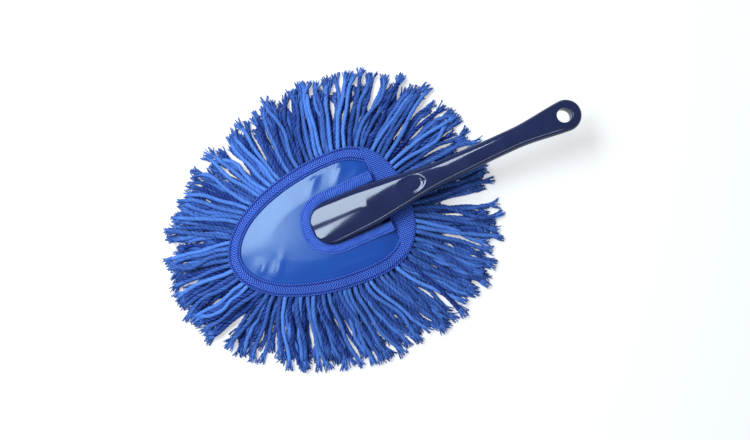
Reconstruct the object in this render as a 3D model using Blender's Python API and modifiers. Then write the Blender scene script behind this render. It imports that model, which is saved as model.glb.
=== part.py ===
"""Hand duster: a sewn yarn mop head on one moulded handle.

Units are metres and +Z is up. The yarn rests on z = 0, the middle of the sewn head
is over the origin and the handle runs towards +X. The head's pocket opens to the
rear, so the handle slides out of it along +X and moves nothing else.
Run it with: blender --background --python part.py
"""

import math
import random
from typing import NamedTuple

import bmesh
import bpy
import numpy as np

ASSEMBLY_NAME = "duster"
HELPERS_NAME = "duster_helpers"

# Clearances. Sewn layers touch on the real duster; their meshes keep this gap.
LAYER_GAP = 0.0003
CUT_OVERRUN = 0.004

# Outline of the sewn head, measured over its perimeter binding
HEAD_LENGTH = 0.163
HEAD_WIDTH = 0.1154
HEAD_WIDEST_SHARE = 0.675
HEAD_FRONT_POWER = 2.0
HEAD_REAR_POWER = 2.5

# How far the yarn reaches past that outline
FRONT_REACH = 0.0575
SIDE_REACH = 0.068
REAR_REACH = 0.079
TIPS_FRONT_POWER = 1.9
TIPS_REAR_POWER = 2.2
CENTRE_ROW_REACH = 0.020

# Yarn. A row's strands are fused to the header that they are sewn in.
YARN_WIDTH = 0.0036
YARN_HEIGHT = 0.0024
YARN_PITCH = 0.005
YARN_TIP_SHARE = 0.85
CENTRE_YARN_TIP_SHARE = 1.75
YARN_WAVE = 0.0028
YARN_WAVES_ROUND = 10
YARN_RIPPLE = 0.0008
YARN_RIPPLES_ROUND = 27
YARN_BEND_SHARE = 0.4
YARN_TRIM_SHARE = 0.14
HEADER_INSET = 0.0015
HEADER_WIDTH = 0.0095
CENTRE_HEADER_LENGTH = 0.080
CENTRE_HEADER_WIDTH = 0.032
CENTRE_YARN_WIDTH = 0.0020
CENTRE_YARN_PITCH = 0.0031

# Sewn layers
BASE_CLOTH_THICKNESS = 0.0006
LINING_THICKNESS = 0.0006
CLOTH_INSET = 0.0015
COVER_THICKNESS = 0.0006
COVER_INSET = 0.0010
COVER_RISE_RUN = 0.003
REAR_BAND_WIDTH = 0.0225
REAR_BAND_THICKNESS = 0.0006
BINDING_WIDTH = 0.0115
BINDING_THICKNESS = 0.0010
BINDING_ROUND = 0.0004
TAPE_WIDTH = 0.0088
TAPE_THICKNESS = 0.0008
THREAD_DIAMETER = 0.0006
STITCH_INSET = 0.0018
PLATEAU_INSET = 0.0180
PLATEAU_RUN = 0.003

# Handle, one moulding: a flat tongue in the pocket, a nose on it, and the grip
HANDLE_LENGTH = 0.240
NOSE_TIP_X = -0.0039
TONGUE_THICKNESS = 0.0024
TONGUE_SIDE_CLEARANCE = 0.0015
TONGUE_FRONT_CLEARANCE = 0.010
TONGUE_END_CLEARANCE = 0.003
TONGUE_WIDEST_SHARE = 0.55
TONGUE_FRONT_POWER = 2.2
TONGUE_REAR_POWER = 3.0
NOSE_WIDTH = 0.0356
NOSE_RISE = 0.0074
NOSE_ROUND_LENGTH = 0.018
NOSE_SLOPE_LENGTH = 0.0030
NOSE_ROUND_POWER = 2.3
SLOT_SIDE_CLEARANCE = 0.0010
SLOT_FRONT_CLEARANCE = 0.0008
SLOT_ROUND_LENGTH = 0.022
SLOT_POWER = 2.3
NECK_WIDTH = 0.0205
WAIST_WIDTH = 0.0173
EYE_WIDTH = 0.0264
EYE_END_ROUND = 0.005
GRIP_THICKNESS = 0.0130
SECTION_POWER = 2.5
UNDERSIDE_POWER = 4.0
NOSE_EQUATOR_SHARE = 0.12
GRIP_EQUATOR_SHARE = 0.50
NARROWING_SHARES = (0.17, 0.50)
TAPER_SHARES = (0.42, 0.72)
FLARE_SHARES = (0.755, 0.98)
LIFT_OFF_SHARES = (0.225, 0.36)
CROWN_PLACE_SHARES = (0.0, 0.18, 0.215, 0.45, 0.51, 0.665, 0.735, 0.81, 1.0)
CROWN_SLOPES_DEGREES = (9.0, 9.0, 3.2, 3.2, 10.5, 10.5, 5.0, 1.5, 0.0)
EYE_HOLE_SETBACK = 0.0146
EYE_HOLE_DIAMETER = 0.0122
EYE_HOLE_FLARE = 0.0012
THUMB_DISH_SHARE = 0.375
THUMB_DISH_LENGTH = 0.026
THUMB_DISH_WIDTH = 0.017
THUMB_DISH_DEPTH = 0.0020
THUMB_DISH_FLANK_SHARE = 1.2
HANDLE_WALL = 0.0022
NOSE_WALL = 0.003
EYE_WALL = 0.004
RIB_THICKNESS = 0.0016
RIB_RECESS = 0.0015
RIB_CELLS = 8

# Counts of points, which set how finely the curves are drawn
OUTLINE_POINTS = 72
DENSE_POINTS = 1441
SECTION_POINTS = 20
ARCH_POINTS = 11
HOLLOW_STATIONS = 33
COVER_COLUMNS = 49
COVER_INNER_ROWS = 3
TAPE_STATIONS = 41
BAND_POINTS = 25
HOLE_STEPS = 24
NOSE_STATION_SHARES = (0.015, 0.06, 0.14, 0.26, 0.42, 0.62, 0.85)
BODY_STATION_SHARES = (
    0.100, 0.150, 0.190, 0.230, 0.260, 0.290, 0.320, 0.355, 0.400, 0.450,
    0.490, 0.530, 0.575, 0.620, 0.665, 0.710, 0.760, 0.810, 0.860, 0.905, 0.945,
)
TAIL_STATION_ANGLES = (20.0, 40.0, 56.0, 70.0, 82.0)


class Oval(NamedTuple):
    """An egg outline about a widest line, with its own roundness at each end."""

    widest_x: float
    front: float
    rear: float
    half: float
    front_power: float
    rear_power: float

    def inset(self, by):
        """The same egg, drawn in by a length at both ends and at the sides."""
        return self._replace(
            front=self.front - by, rear=self.rear - by, half=self.half - by
        )

    def at(self, angles):
        """Points (n, 2) at these angles; angle 0 is the rear end."""
        cos, sin = np.cos(angles), np.sin(angles)
        is_front = cos < 0
        reach = np.where(is_front, self.front, self.rear)
        power = np.where(is_front, self.front_power, self.rear_power)
        x = self.widest_x + reach * np.sign(cos) * np.abs(cos) ** (2 / power)
        y = self.half * np.sign(sin) * np.abs(sin) ** (2 / power)
        return np.column_stack((x, y))

    def rear_angle(self, x):
        """The angle where the rear half crosses this x, or 0 past its end."""
        share = min(max((x - self.widest_x) / self.rear, 0.0), 1.0)
        return math.acos(share ** (self.rear_power / 2))

    def half_at(self, x):
        """Half the width of the rear half at this x."""
        return float(self.at(np.array([self.rear_angle(x)]))[0, 1])

    def perimeter(self):
        """Length once round."""
        return path_lengths(self.at(full_turn(DENSE_POINTS)))[-1]

    def angles_at(self, lengths):
        """The angles that lie these lengths round from the rear end."""
        dense = full_turn(DENSE_POINTS)
        travelled = path_lengths(self.at(dense))
        return np.interp(np.mod(lengths, travelled[-1]), travelled, dense)


class FringeRow(NamedTuple):
    """One sewn row of yarn: where it starts, how high, and how its strands run."""

    name: str
    root: Oval
    header_hole: Oval | None
    tips: Oval
    header_z: float
    strand_z: float
    floor_z: float
    width: float
    tip_share: float
    pitch: float
    shift_share: float
    sides: int
    stations: tuple
    seed: int

    def count(self):
        """How many strands fit round the root at the row's pitch."""
        return round(self.root.perimeter() / self.pitch)

    def middles(self):
        """Length round the root to the middle of each strand."""
        spacing = self.root.perimeter() / self.count()
        return (np.arange(self.count()) + self.shift_share) * spacing


def full_turn(count):
    """Angles once round, the first and the last at the rear end."""
    return np.linspace(0.0, 2 * math.pi, count)


def path_lengths(points):
    """Length travelled to each point of a line of points."""
    steps = np.linalg.norm(np.diff(points, axis=0), axis=1)
    return np.concatenate(([0.0], np.cumsum(steps)))


def resampled(points, count):
    """The same open line with points at equal lengths along it."""
    travelled = path_lengths(points)
    wanted = np.linspace(0.0, travelled[-1], count)
    return np.column_stack([np.interp(wanted, travelled, column) for column in points.T])


def at_height(points, z):
    """Points (n, 2) lifted to (n, 3) at one height."""
    return np.column_stack((points, np.full(len(points), z)))


def eased(place, start, end):
    """0 up to the start, 1 from the end on, and a smooth step between."""
    share = min(max((place - start) / (end - start), 0.0), 1.0)
    return share * share * (3 - 2 * share)


def rounded_end(distance, length, power):
    """How full a shape is at this distance from its rounded end, from 0 to 1."""
    short = min(max(1 - distance / length, 0.0), 1.0)
    return (1 - short**power) ** (1 / power)


# Heights of the layers, from the surface that the duster lies on upwards
HEAD = Oval(
    HEAD_LENGTH * (HEAD_WIDEST_SHARE - 0.5),
    HEAD_LENGTH * HEAD_WIDEST_SHARE,
    HEAD_LENGTH * (1 - HEAD_WIDEST_SHARE),
    HEAD_WIDTH / 2,
    HEAD_FRONT_POWER,
    HEAD_REAR_POWER,
)
BASE_CLOTH_Z = YARN_HEIGHT + LAYER_GAP
LOWER_ROW_Z = BASE_CLOTH_Z + BASE_CLOTH_THICKNESS + LAYER_GAP
MIDDLE_ROW_Z = LOWER_ROW_Z + YARN_HEIGHT + LAYER_GAP
TOP_ROW_Z = MIDDLE_ROW_Z + YARN_HEIGHT + LAYER_GAP
LINING_Z = TOP_ROW_Z + YARN_HEIGHT + LAYER_GAP
COVER_EDGE_Z = LINING_Z + LINING_THICKNESS + LAYER_GAP
BINDING_Z = COVER_EDGE_Z + max(COVER_THICKNESS, REAR_BAND_THICKNESS) + LAYER_GAP
STITCH_Z = BINDING_Z + BINDING_THICKNESS + LAYER_GAP
TONGUE_Z = STITCH_Z + THREAD_DIAMETER + LAYER_GAP
TONGUE_TOP_Z = TONGUE_Z + TONGUE_THICKNESS
COVER_Z = TONGUE_TOP_Z + LAYER_GAP
TAPE_Z = COVER_Z + COVER_THICKNESS + LAYER_GAP
COVER_REAR_X = HEAD.widest_x + HEAD.rear - REAR_BAND_WIDTH
POCKET = HEAD.inset(BINDING_WIDTH + LAYER_GAP + COVER_RISE_RUN)


def tongue_outline():
    """The part of the handle in the pocket, narrow enough to leave by its mouth."""
    front_x = POCKET.widest_x - POCKET.front + TONGUE_FRONT_CLEARANCE
    rear_x = COVER_REAR_X - TONGUE_END_CLEARANCE
    widest_x = front_x + (rear_x - front_x) * TONGUE_WIDEST_SHARE
    return Oval(
        widest_x,
        widest_x - front_x,
        rear_x - widest_x,
        POCKET.half_at(COVER_REAR_X) - TONGUE_SIDE_CLEARANCE,
        TONGUE_FRONT_POWER,
        TONGUE_REAR_POWER,
    )


class HandleForm:
    """Widths and heights of the handle at any x, eased between its named sizes."""

    def __init__(self):
        self.end_x = NOSE_TIP_X + HANDLE_LENGTH
        self.eye_x = self.end_x - EYE_HOLE_SETBACK
        self.places = np.linspace(0.0, 1.0, DENSE_POINTS)
        degrees = np.interp(self.places, CROWN_PLACE_SHARES, CROWN_SLOPES_DEGREES)
        slopes = np.tan(np.radians(degrees))
        steps = (slopes[1:] + slopes[:-1]) / 2 * HANDLE_LENGTH / (DENSE_POINTS - 1)
        self.climbs = np.concatenate(([0.0], np.cumsum(steps)))

    def place(self, x):
        """Share of the handle's length at this x."""
        return (x - NOSE_TIP_X) / HANDLE_LENGTH

    def half_width(self, x):
        place = self.place(x)
        width = (
            NOSE_WIDTH
            + (NECK_WIDTH - NOSE_WIDTH) * eased(place, *NARROWING_SHARES)
            + (WAIST_WIDTH - NECK_WIDTH) * eased(place, *TAPER_SHARES)
            + (EYE_WIDTH - WAIST_WIDTH) * eased(place, *FLARE_SHARES)
        )
        width *= rounded_end(x - NOSE_TIP_X, NOSE_ROUND_LENGTH, NOSE_ROUND_POWER)
        return width / 2 * rounded_end(self.end_x - x, EYE_WIDTH / 2, 2.0)

    def crown(self, x):
        """Height of the top line before its ends are rounded: its slopes summed up."""
        climb = float(np.interp(self.place(x), self.places, self.climbs))
        return TONGUE_TOP_Z + NOSE_RISE + climb

    def bottom(self, x):
        lift = eased(self.place(x), *LIFT_OFF_SHARES)
        seat = TONGUE_Z + TONGUE_THICKNESS / 3
        low = seat + (self.crown(x) - GRIP_THICKNESS - seat) * lift
        middle = self.crown(x) - GRIP_THICKNESS / 2
        full = rounded_end(self.end_x - x, EYE_END_ROUND, SECTION_POWER)
        return middle + (low - middle) * full

    def top(self, x):
        nose = rounded_end(x - NOSE_TIP_X, NOSE_SLOPE_LENGTH, NOSE_ROUND_POWER)
        high = TONGUE_TOP_Z + (self.crown(x) - TONGUE_TOP_Z) * nose
        middle = self.crown(x) - GRIP_THICKNESS / 2
        full = rounded_end(self.end_x - x, EYE_END_ROUND, SECTION_POWER)
        return high if full == 1 else middle + (high - middle) * full

    def equator(self, x):
        """Height where the section is widest: low on the nose, halfway on the grip."""
        lift = eased(self.place(x), *LIFT_OFF_SHARES)
        share = NOSE_EQUATOR_SHARE + (GRIP_EQUATOR_SHARE - NOSE_EQUATOR_SHARE) * lift
        return self.bottom(x) + (self.top(x) - self.bottom(x)) * share

    def dish_cover(self, x):
        """How much lower the hollow's ceiling is under the thumb dish."""
        off = abs(x - self.dish_x()) / THUMB_DISH_LENGTH
        return THUMB_DISH_DEPTH * (1 - eased(off, 0.5, 1.0))

    def dish_x(self):
        return NOSE_TIP_X + HANDLE_LENGTH * THUMB_DISH_SHARE

    def slope(self, x):
        """Angle of the top line, seen from the side."""
        step = RIB_THICKNESS
        return math.atan2(self.top(x + step) - self.top(x - step), 2 * step)

    def section(self, x):
        """A closed ring round the outside, widest at the equator."""
        angles = full_turn(SECTION_POINTS + 1)[:-1]
        cos, sin = np.cos(angles), np.sin(angles)
        power = 2 / np.where(sin > 0, SECTION_POWER, UNDERSIDE_POWER)
        up, down = self.top(x) - self.equator(x), self.equator(x) - self.bottom(x)
        y = self.half_width(x) * np.sign(cos) * np.abs(cos) ** power
        z = self.equator(x) + np.where(sin > 0, up, -down) * np.abs(sin) ** power
        return np.column_stack((np.full(len(y), x), y, z))

    def arch(self, x, grow, low):
        """A closed ring that follows the hollow, grown by a length, down to a height."""
        angles = np.linspace(0.0, math.pi, ARCH_POINTS)
        cos, sin = np.cos(angles), np.sin(angles)
        power = 2 / SECTION_POWER
        half = self.half_width(x) - HANDLE_WALL + grow
        ceiling = self.top(x) - HANDLE_WALL - self.dish_cover(x) + grow
        y = half * np.sign(cos) * np.abs(cos) ** power
        z = self.equator(x) + (ceiling - self.equator(x)) * np.abs(sin) ** power
        y = np.concatenate(([half], y, [-half]))
        z = np.concatenate(([low], z, [low]))
        return np.column_stack((np.full(len(y), x), y, z))


def clear_scene():
    for obj in list(bpy.data.objects):
        bpy.data.objects.remove(obj, do_unlink=True)


def new_collection(name):
    collection = bpy.data.collections.new(name)
    bpy.context.scene.collection.children.link(collection)
    return collection


def new_material(name, colour, roughness):
    material = bpy.data.materials.new(name)
    material.use_nodes = True
    shader = material.node_tree.nodes["Principled BSDF"]
    shader.inputs["Base Color"].default_value = (*colour, 1.0)
    shader.inputs["Roughness"].default_value = roughness
    shader.inputs["Metallic"].default_value = 0.0
    return material


def finish_object(obj, collection, material=None):
    """Puts an object in its collection alone, and hides it there if it is a helper."""
    for old in list(obj.users_collection):
        old.objects.unlink(obj)
    collection.objects.link(obj)
    if material is None:
        obj.hide_render = True
        obj.display_type = "WIRE"
    else:
        obj.data.materials.append(material)
    return obj


def object_from(bm, name, collection, material=None):
    bmesh.ops.recalc_face_normals(bm, faces=bm.faces)
    mesh = bpy.data.meshes.new(name)
    bm.to_mesh(mesh)
    bm.free()
    return finish_object(bpy.data.objects.new(name, mesh), collection, material)


def add_loft(bm, rings, capped=True, round_trip=False):
    """Skins sections of equal point counts; the ends are capped or joined up."""
    loops = [[bm.verts.new(point) for point in ring] for ring in rings]
    following = loops[1:] + loops[:1] if round_trip else loops[1:]
    for near, far in zip(loops, following):
        for i in range(len(near)):
            j = (i + 1) % len(near)
            bm.faces.new((near[i], near[j], far[j], far[i]))
    if capped and not round_trip:
        bm.faces.new(loops[0])
        bm.faces.new(loops[-1])


def add_grid(bm, rows):
    """Skins rows of points as an open sheet."""
    lines = [[bm.verts.new(point) for point in row] for row in rows]
    for near, far in zip(lines, lines[1:]):
        for i in range(len(near) - 1):
            bm.faces.new((near[i], near[i + 1], far[i + 1], far[i]))


def solidify(obj, thickness):
    """Gives an open sheet its thickness, on the side that its faces look to."""
    modifier = obj.modifiers.new("thickness", "SOLIDIFY")
    modifier.thickness = thickness
    modifier.offset = 1.0
    modifier.use_even_offset = True


def boolean(obj, other, operation):
    modifier = obj.modifiers.new(other.name, "BOOLEAN")
    modifier.operation = operation
    modifier.object = other


def face_up(bm):
    """Turns an open sheet's faces so that they look up."""
    bmesh.ops.recalc_face_normals(bm, faces=bm.faces)
    if sum(face.normal.z * face.calc_area() for face in bm.faces) < 0:
        bmesh.ops.reverse_faces(bm, faces=bm.faces)


def sheet_object(bm, name, thickness, collection, material):
    face_up(bm)
    mesh = bpy.data.meshes.new(name)
    bm.to_mesh(mesh)
    bm.free()
    obj = finish_object(bpy.data.objects.new(name, mesh), collection, material)
    solidify(obj, thickness)
    return obj


def flat_piece(name, outline, bottom, thickness, collection, material):
    """A flat piece: one outline, lifted through its thickness."""
    bm = bmesh.new()
    add_loft(bm, (at_height(outline, bottom), at_height(outline, bottom + thickness)))
    return object_from(bm, name, collection, material)


def thread_object(name, points, closed, collection, material):
    """A line of sewing thread as a curve with a round section."""
    curve = bpy.data.curves.new(name, "CURVE")
    curve.dimensions = "3D"
    curve.bevel_depth = THREAD_DIAMETER / 2
    curve.bevel_resolution = 0
    curve.use_fill_caps = not closed
    spline = curve.splines.new("POLY")
    spline.points.add(len(points) - 1)
    for spot, point in zip(spline.points, points):
        spot.co = (*point, 1.0)
    spline.use_cyclic_u = closed
    return finish_object(bpy.data.objects.new(name, curve), collection, material)


def strand_paths(row):
    """Left and right edge of each strand, (stations, count, 2) each, from above.

    Every strand leaves its root towards the same place on the tips' outline, and
    all of them share one slow wave, so that neighbours stay apart. The last value
    is the share of the way that each strand reaches.
    """
    chance = random.Random(row.seed)
    middles = row.middles()
    angles = row.root.angles_at(middles)
    start, end = row.root.at(angles), row.tips.at(angles)
    run = end - start
    along = run / np.linalg.norm(run, axis=1)[:, None]
    side = np.column_stack((-along[:, 1], along[:, 0]))
    turn = 2 * math.pi * middles / row.root.perimeter()
    wave = YARN_WAVE * np.sin(YARN_WAVES_ROUND * turn + row.seed)
    wave += YARN_RIPPLE * np.sin(YARN_RIPPLES_ROUND * turn + row.seed)
    reach = 1 - YARN_TRIM_SHARE * np.array([chance.random() for _ in middles])
    low_edge = row.root.at(row.root.angles_at(middles - row.width / 2))
    high_edge = row.root.at(row.root.angles_at(middles + row.width / 2))
    lefts, rights = [low_edge], [high_edge]
    for station in row.stations:
        share = np.minimum(station, reach)[:, None]
        middle = start + run * share + side * wave[:, None] * share**2
        slim = 1 - (1 - row.tip_share) * share
        lefts.append(middle - side * slim * row.width / 2)
        rights.append(middle + side * slim * row.width / 2)
    return np.array(lefts), np.array(rights), reach


def strand_floor(row, share):
    """Height of a strand's underside at a share of the way to the tips' outline."""
    if share <= YARN_BEND_SHARE:
        return row.header_z + (row.strand_z - row.header_z) * share / YARN_BEND_SHARE
    rest = (share - YARN_BEND_SHARE) / (1 - YARN_BEND_SHARE)
    return row.strand_z + (row.floor_z - row.strand_z) * rest


def add_header(bm, row, left, right):
    """The sewn header with a root face for each strand, which it returns."""
    count = row.count()
    low, high = row.header_z, row.header_z + YARN_HEIGHT
    lows = [
        (bm.verts.new((*a, low)), bm.verts.new((*b, low))) for a, b in zip(left, right)
    ]
    if row.sides == 3:
        tops = [(bm.verts.new((*middle, high)),) for middle in (left + right) / 2]
    else:
        tops = [
            (bm.verts.new((*a, high)), bm.verts.new((*b, high)))
            for a, b in zip(left, right)
        ]
    roots = []
    for i in range(count):
        j = (i + 1) % count
        roots.append(bm.faces.new((lows[i][0], lows[i][1], *reversed(tops[i]))))
        bm.faces.new((lows[i][1], lows[j][0], tops[j][0], tops[i][-1]))
    if row.header_hole is None:
        bm.faces.new([vert for pair in lows for vert in pair])
        bm.faces.new([vert for pair in tops for vert in pair])
        return roots
    inside = row.header_hole.at(row.root.angles_at(row.middles()))
    floor = [bm.verts.new((*point, low)) for point in inside]
    roof = [bm.verts.new((*point, high)) for point in inside]
    for i in range(count):
        j = (i + 1) % count
        bm.faces.new((floor[i], floor[j], roof[j], roof[i]))
        for outer, inner in ((lows, floor), (tops, roof)):
            if len(outer[i]) == 2:
                bm.faces.new((outer[i][0], outer[i][1], inner[i]))
            bm.faces.new((outer[i][-1], outer[j][0], inner[j], inner[i]))
    return roots


def add_fringe_row(row, collection, material):
    """A header, and strands drawn out of its outer wall a station at a time."""
    lefts, rights, reach = strand_paths(row)
    bm = bmesh.new()
    faces = add_header(bm, row, lefts[0], rights[0])
    bm.normal_update()
    for k, station in enumerate(row.stations, start=1):
        for i, face in enumerate(faces):
            share = min(station, float(reach[i]))
            floor = strand_floor(row, share)
            slim = 1 - (1 - YARN_TIP_SHARE) * share
            roof = floor + YARN_HEIGHT * slim
            left, right = lefts[k][i], rights[k][i]
            spots = [(*left, floor), (*right, floor)]
            if row.sides == 3:
                spots.append((*((left + right) / 2), roof))
            else:
                spots += [(*right, roof), (*left, roof)]
            corners = [vert.co.copy().freeze() for vert in face.verts]
            moved = dict(zip(corners, spots))
            faces[i] = bmesh.ops.extrude_discrete_faces(bm, faces=[face])["faces"][0]
            for vert in faces[i].verts:
                vert.co = moved[vert.co.copy().freeze()]
    return object_from(bm, row.name, collection, material)


def fringe_rows():
    """The four rows of yarn, from the top one to the one that the head lies on."""
    root = HEAD.inset(HEADER_INSET)
    hole = HEAD.inset(HEADER_INSET + HEADER_WIDTH)
    tips = Oval(
        HEAD.widest_x,
        HEAD.front + FRONT_REACH,
        HEAD.rear + REAR_REACH,
        HEAD.half + SIDE_REACH,
        TIPS_FRONT_POWER,
        TIPS_REAR_POWER,
    )
    centre = HEAD._replace(
        front=CENTRE_HEADER_LENGTH * HEAD_WIDEST_SHARE,
        rear=CENTRE_HEADER_LENGTH * (1 - HEAD_WIDEST_SHARE),
        half=CENTRE_HEADER_WIDTH / 2,
    )
    layer = YARN_HEIGHT + LAYER_GAP
    bend = YARN_BEND_SHARE
    return (
        FringeRow(
            "fringe_top_row", root, hole, tips, TOP_ROW_Z, 3 * layer, 2 * layer,
            YARN_WIDTH, YARN_TIP_SHARE, YARN_PITCH, 0.5, 4, (bend, 0.7, 1.0), 11,
        ),
        FringeRow(
            "fringe_middle_row", root, hole, tips, MIDDLE_ROW_Z, 2 * layer, layer,
            YARN_WIDTH, YARN_TIP_SHARE, YARN_PITCH, 0.0, 3, (bend, 0.7, 1.0), 12,
        ),
        FringeRow(
            "fringe_lower_row", root, hole, tips, LOWER_ROW_Z, layer, 0.0,
            YARN_WIDTH, YARN_TIP_SHARE, YARN_PITCH, 0.5, 3, (bend, 1.0), 13,
        ),
        FringeRow(
            "fringe_centre_row", centre, None, HEAD.inset(-CENTRE_ROW_REACH), 0.0, 0.0, 0.0,
            CENTRE_YARN_WIDTH, CENTRE_YARN_TIP_SHARE, CENTRE_YARN_PITCH, 0.5, 3,
            (bend, 1.0), 14,
        ),
    )


def outline_angles():
    """Angles that spread the outline's points evenly round the head."""
    return HEAD.angles_at(np.arange(OUTLINE_POINTS) * HEAD.perimeter() / OUTLINE_POINTS)


def raised_ovals():
    """Foot and edge of the raised part of the filling, which carries the tongue."""
    edge = HEAD.inset(PLATEAU_INSET)._replace(
        rear=COVER_REAR_X - HEAD.widest_x - 2 * PLATEAU_RUN
    )
    return edge.inset(-PLATEAU_RUN), edge


def add_filling(collection, materials):
    """Base cloth, foam and the lining that is the pocket's floor."""
    angles = outline_angles()
    foot, edge = raised_ovals()
    cloth = HEAD.inset(CLOTH_INSET).at(angles)
    flat_piece(
        "base_cloth", cloth, BASE_CLOTH_Z, BASE_CLOTH_THICKNESS, collection,
        materials["canvas"],
    )
    lining_top = TONGUE_Z - LAYER_GAP
    raised = lining_top - LINING_THICKNESS
    foam_side = HEAD.inset(HEADER_INSET + HEADER_WIDTH + LAYER_GAP).at(angles)
    shoulder = LINING_Z - LAYER_GAP
    bm = bmesh.new()
    add_loft(
        bm,
        (
            at_height(foam_side, LOWER_ROW_Z),
            at_height(foam_side, shoulder),
            at_height(foot.at(angles), shoulder),
            at_height(edge.at(angles), raised - LAYER_GAP),
        ),
    )
    object_from(bm, "foam_pad", collection, materials["foam"])
    bm = bmesh.new()
    rings = (
        at_height(cloth, LINING_Z),
        at_height(foot.at(angles), LINING_Z),
        at_height(edge.at(angles), raised),
    )
    add_loft(bm, rings, capped=False)
    bm.verts.ensure_lookup_table()
    bm.faces.new(bm.verts[-len(angles):])
    sheet_object(bm, "pocket_lining", LINING_THICKNESS, collection, materials["lining"])


def front_arc(oval):
    """The oval's line from one side of the mouth round the front to the other."""
    start = oval.rear_angle(COVER_REAR_X)
    angles = np.linspace(start, 2 * math.pi - start, DENSE_POINTS)
    return resampled(oval.at(angles), COVER_COLUMNS)


def slot_line(out, count):
    """The U of the cover's opening, drawn outwards by a length."""
    apex_x = NOSE_TIP_X - SLOT_FRONT_CLEARANCE
    bend_x = apex_x + SLOT_ROUND_LENGTH
    half = NOSE_WIDTH / 2 + SLOT_SIDE_CLEARANCE + out
    bend = Oval(bend_x, bend_x - apex_x + out, half, half, SLOT_POWER, SLOT_POWER)
    angles = np.linspace(math.pi / 2, 3 * math.pi / 2, DENSE_POINTS)
    curve = bend.at(angles)
    ends = np.array(((COVER_REAR_X, half), (COVER_REAR_X, -half)))
    return resampled(np.vstack((ends[:1], curve, ends[1:])), count)


def add_cover(collection, materials):
    """The vinyl sheet: flat under the binding, raised over the tongue, cut in a U."""
    edge = HEAD.inset(COVER_INSET)
    foot = HEAD.inset(BINDING_WIDTH + LAYER_GAP)
    halfway = foot.inset(COVER_RISE_RUN / 2)
    rim = front_arc(POCKET)
    slot = slot_line(0.0, COVER_COLUMNS)
    rows = [
        at_height(front_arc(edge), COVER_EDGE_Z),
        at_height(front_arc(foot), COVER_EDGE_Z),
        at_height(front_arc(halfway), (COVER_EDGE_Z + COVER_Z) / 2),
        at_height(rim, COVER_Z),
    ]
    for step in range(1, COVER_INNER_ROWS + 1):
        share = step / COVER_INNER_ROWS
        rows.append(at_height(rim + (slot - rim) * share, COVER_Z))
    bm = bmesh.new()
    add_grid(bm, rows)
    sheet_object(bm, "cover_sheet", COVER_THICKNESS, collection, materials["vinyl"])


def add_opening_binding(collection, materials):
    """The tape round the U, with square ends at the mouth."""
    inner = slot_line(0.0, TAPE_STATIONS)
    outer = slot_line(TAPE_WIDTH, TAPE_STATIONS)
    low, high = TAPE_Z, TAPE_Z + TAPE_THICKNESS
    bm = bmesh.new()
    rings = [
        ((*a, low), (*b, low), (*b, high), (*a, high)) for a, b in zip(inner, outer)
    ]
    add_loft(bm, rings)
    object_from(bm, "opening_binding", collection, materials["tape"])
    middle = slot_line(TAPE_WIDTH - STITCH_INSET, TAPE_STATIONS)
    height = high + LAYER_GAP + THREAD_DIAMETER / 2
    thread_object(
        "opening_stitching", at_height(middle, height), False, collection,
        materials["thread"],
    )


def add_perimeter_binding(collection, materials):
    """The woven tape round the head, with its upper edges rounded, and its seams."""
    angles = outline_angles()
    low, high = BINDING_Z, BINDING_Z + BINDING_THICKNESS
    sides = (
        (0.0, low),
        (0.0, high - BINDING_ROUND),
        (BINDING_ROUND, high),
        (BINDING_WIDTH - BINDING_ROUND, high),
        (BINDING_WIDTH, high - BINDING_ROUND),
        (BINDING_WIDTH, low),
    )
    bm = bmesh.new()
    add_loft(
        bm, [at_height(HEAD.inset(by).at(angles), z) for by, z in sides], round_trip=True
    )
    object_from(bm, "perimeter_binding", collection, materials["tape"])
    height = STITCH_Z + THREAD_DIAMETER / 2
    for name, inset in (
        ("binding_outer_stitching", STITCH_INSET),
        ("binding_inner_stitching", BINDING_WIDTH - STITCH_INSET),
    ):
        line = at_height(HEAD.inset(inset).at(angles), height)
        thread_object(name, line, True, collection, materials["thread"])


def add_rear_band(collection, materials):
    """The woven strip behind the mouth, which the handle passes over."""
    outline = HEAD.inset(COVER_INSET)
    front_x = COVER_REAR_X + LAYER_GAP
    turn = outline.rear_angle(front_x)
    arc = outline.at(np.linspace(-turn, turn, BAND_POINTS))
    flat_piece(
        "rear_band", arc, COVER_EDGE_Z, REAR_BAND_THICKNESS, collection, materials["tape"]
    )
    seam_x = front_x + STITCH_INSET
    clear = HEAD.inset(BINDING_WIDTH + LAYER_GAP + THREAD_DIAMETER)
    reach = clear.half_at(seam_x)
    height = COVER_EDGE_Z + REAR_BAND_THICKNESS + LAYER_GAP + THREAD_DIAMETER / 2
    seam = np.array(((seam_x, -reach, height), (seam_x, reach, height)))
    thread_object("band_stitching", seam, False, collection, materials["thread"])


def add_handle_hollow(form, helpers):
    """The hollow moulded out of the handle's underside, and the ribs across it."""
    start = NOSE_TIP_X + NOSE_WALL
    end = form.eye_x - EYE_HOLE_DIAMETER / 2 - EYE_WALL
    low = TONGUE_Z - CUT_OVERRUN
    bm = bmesh.new()
    places = np.linspace(start, end, HOLLOW_STATIONS)
    add_loft(bm, [form.arch(float(x), 0.0, low) for x in places])
    hollow = object_from(bm, "handle_hollow", helpers)
    bm = bmesh.new()
    for rib in range(1, RIB_CELLS):
        middle = start + (end - start) * rib / RIB_CELLS
        low = form.bottom(middle) + RIB_RECESS
        ends = (middle - RIB_THICKNESS / 2, middle + RIB_THICKNESS / 2)
        add_loft(bm, [form.arch(x, HANDLE_WALL / 2, low) for x in ends])
    return hollow, object_from(bm, "handle_ribs", helpers)


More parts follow.
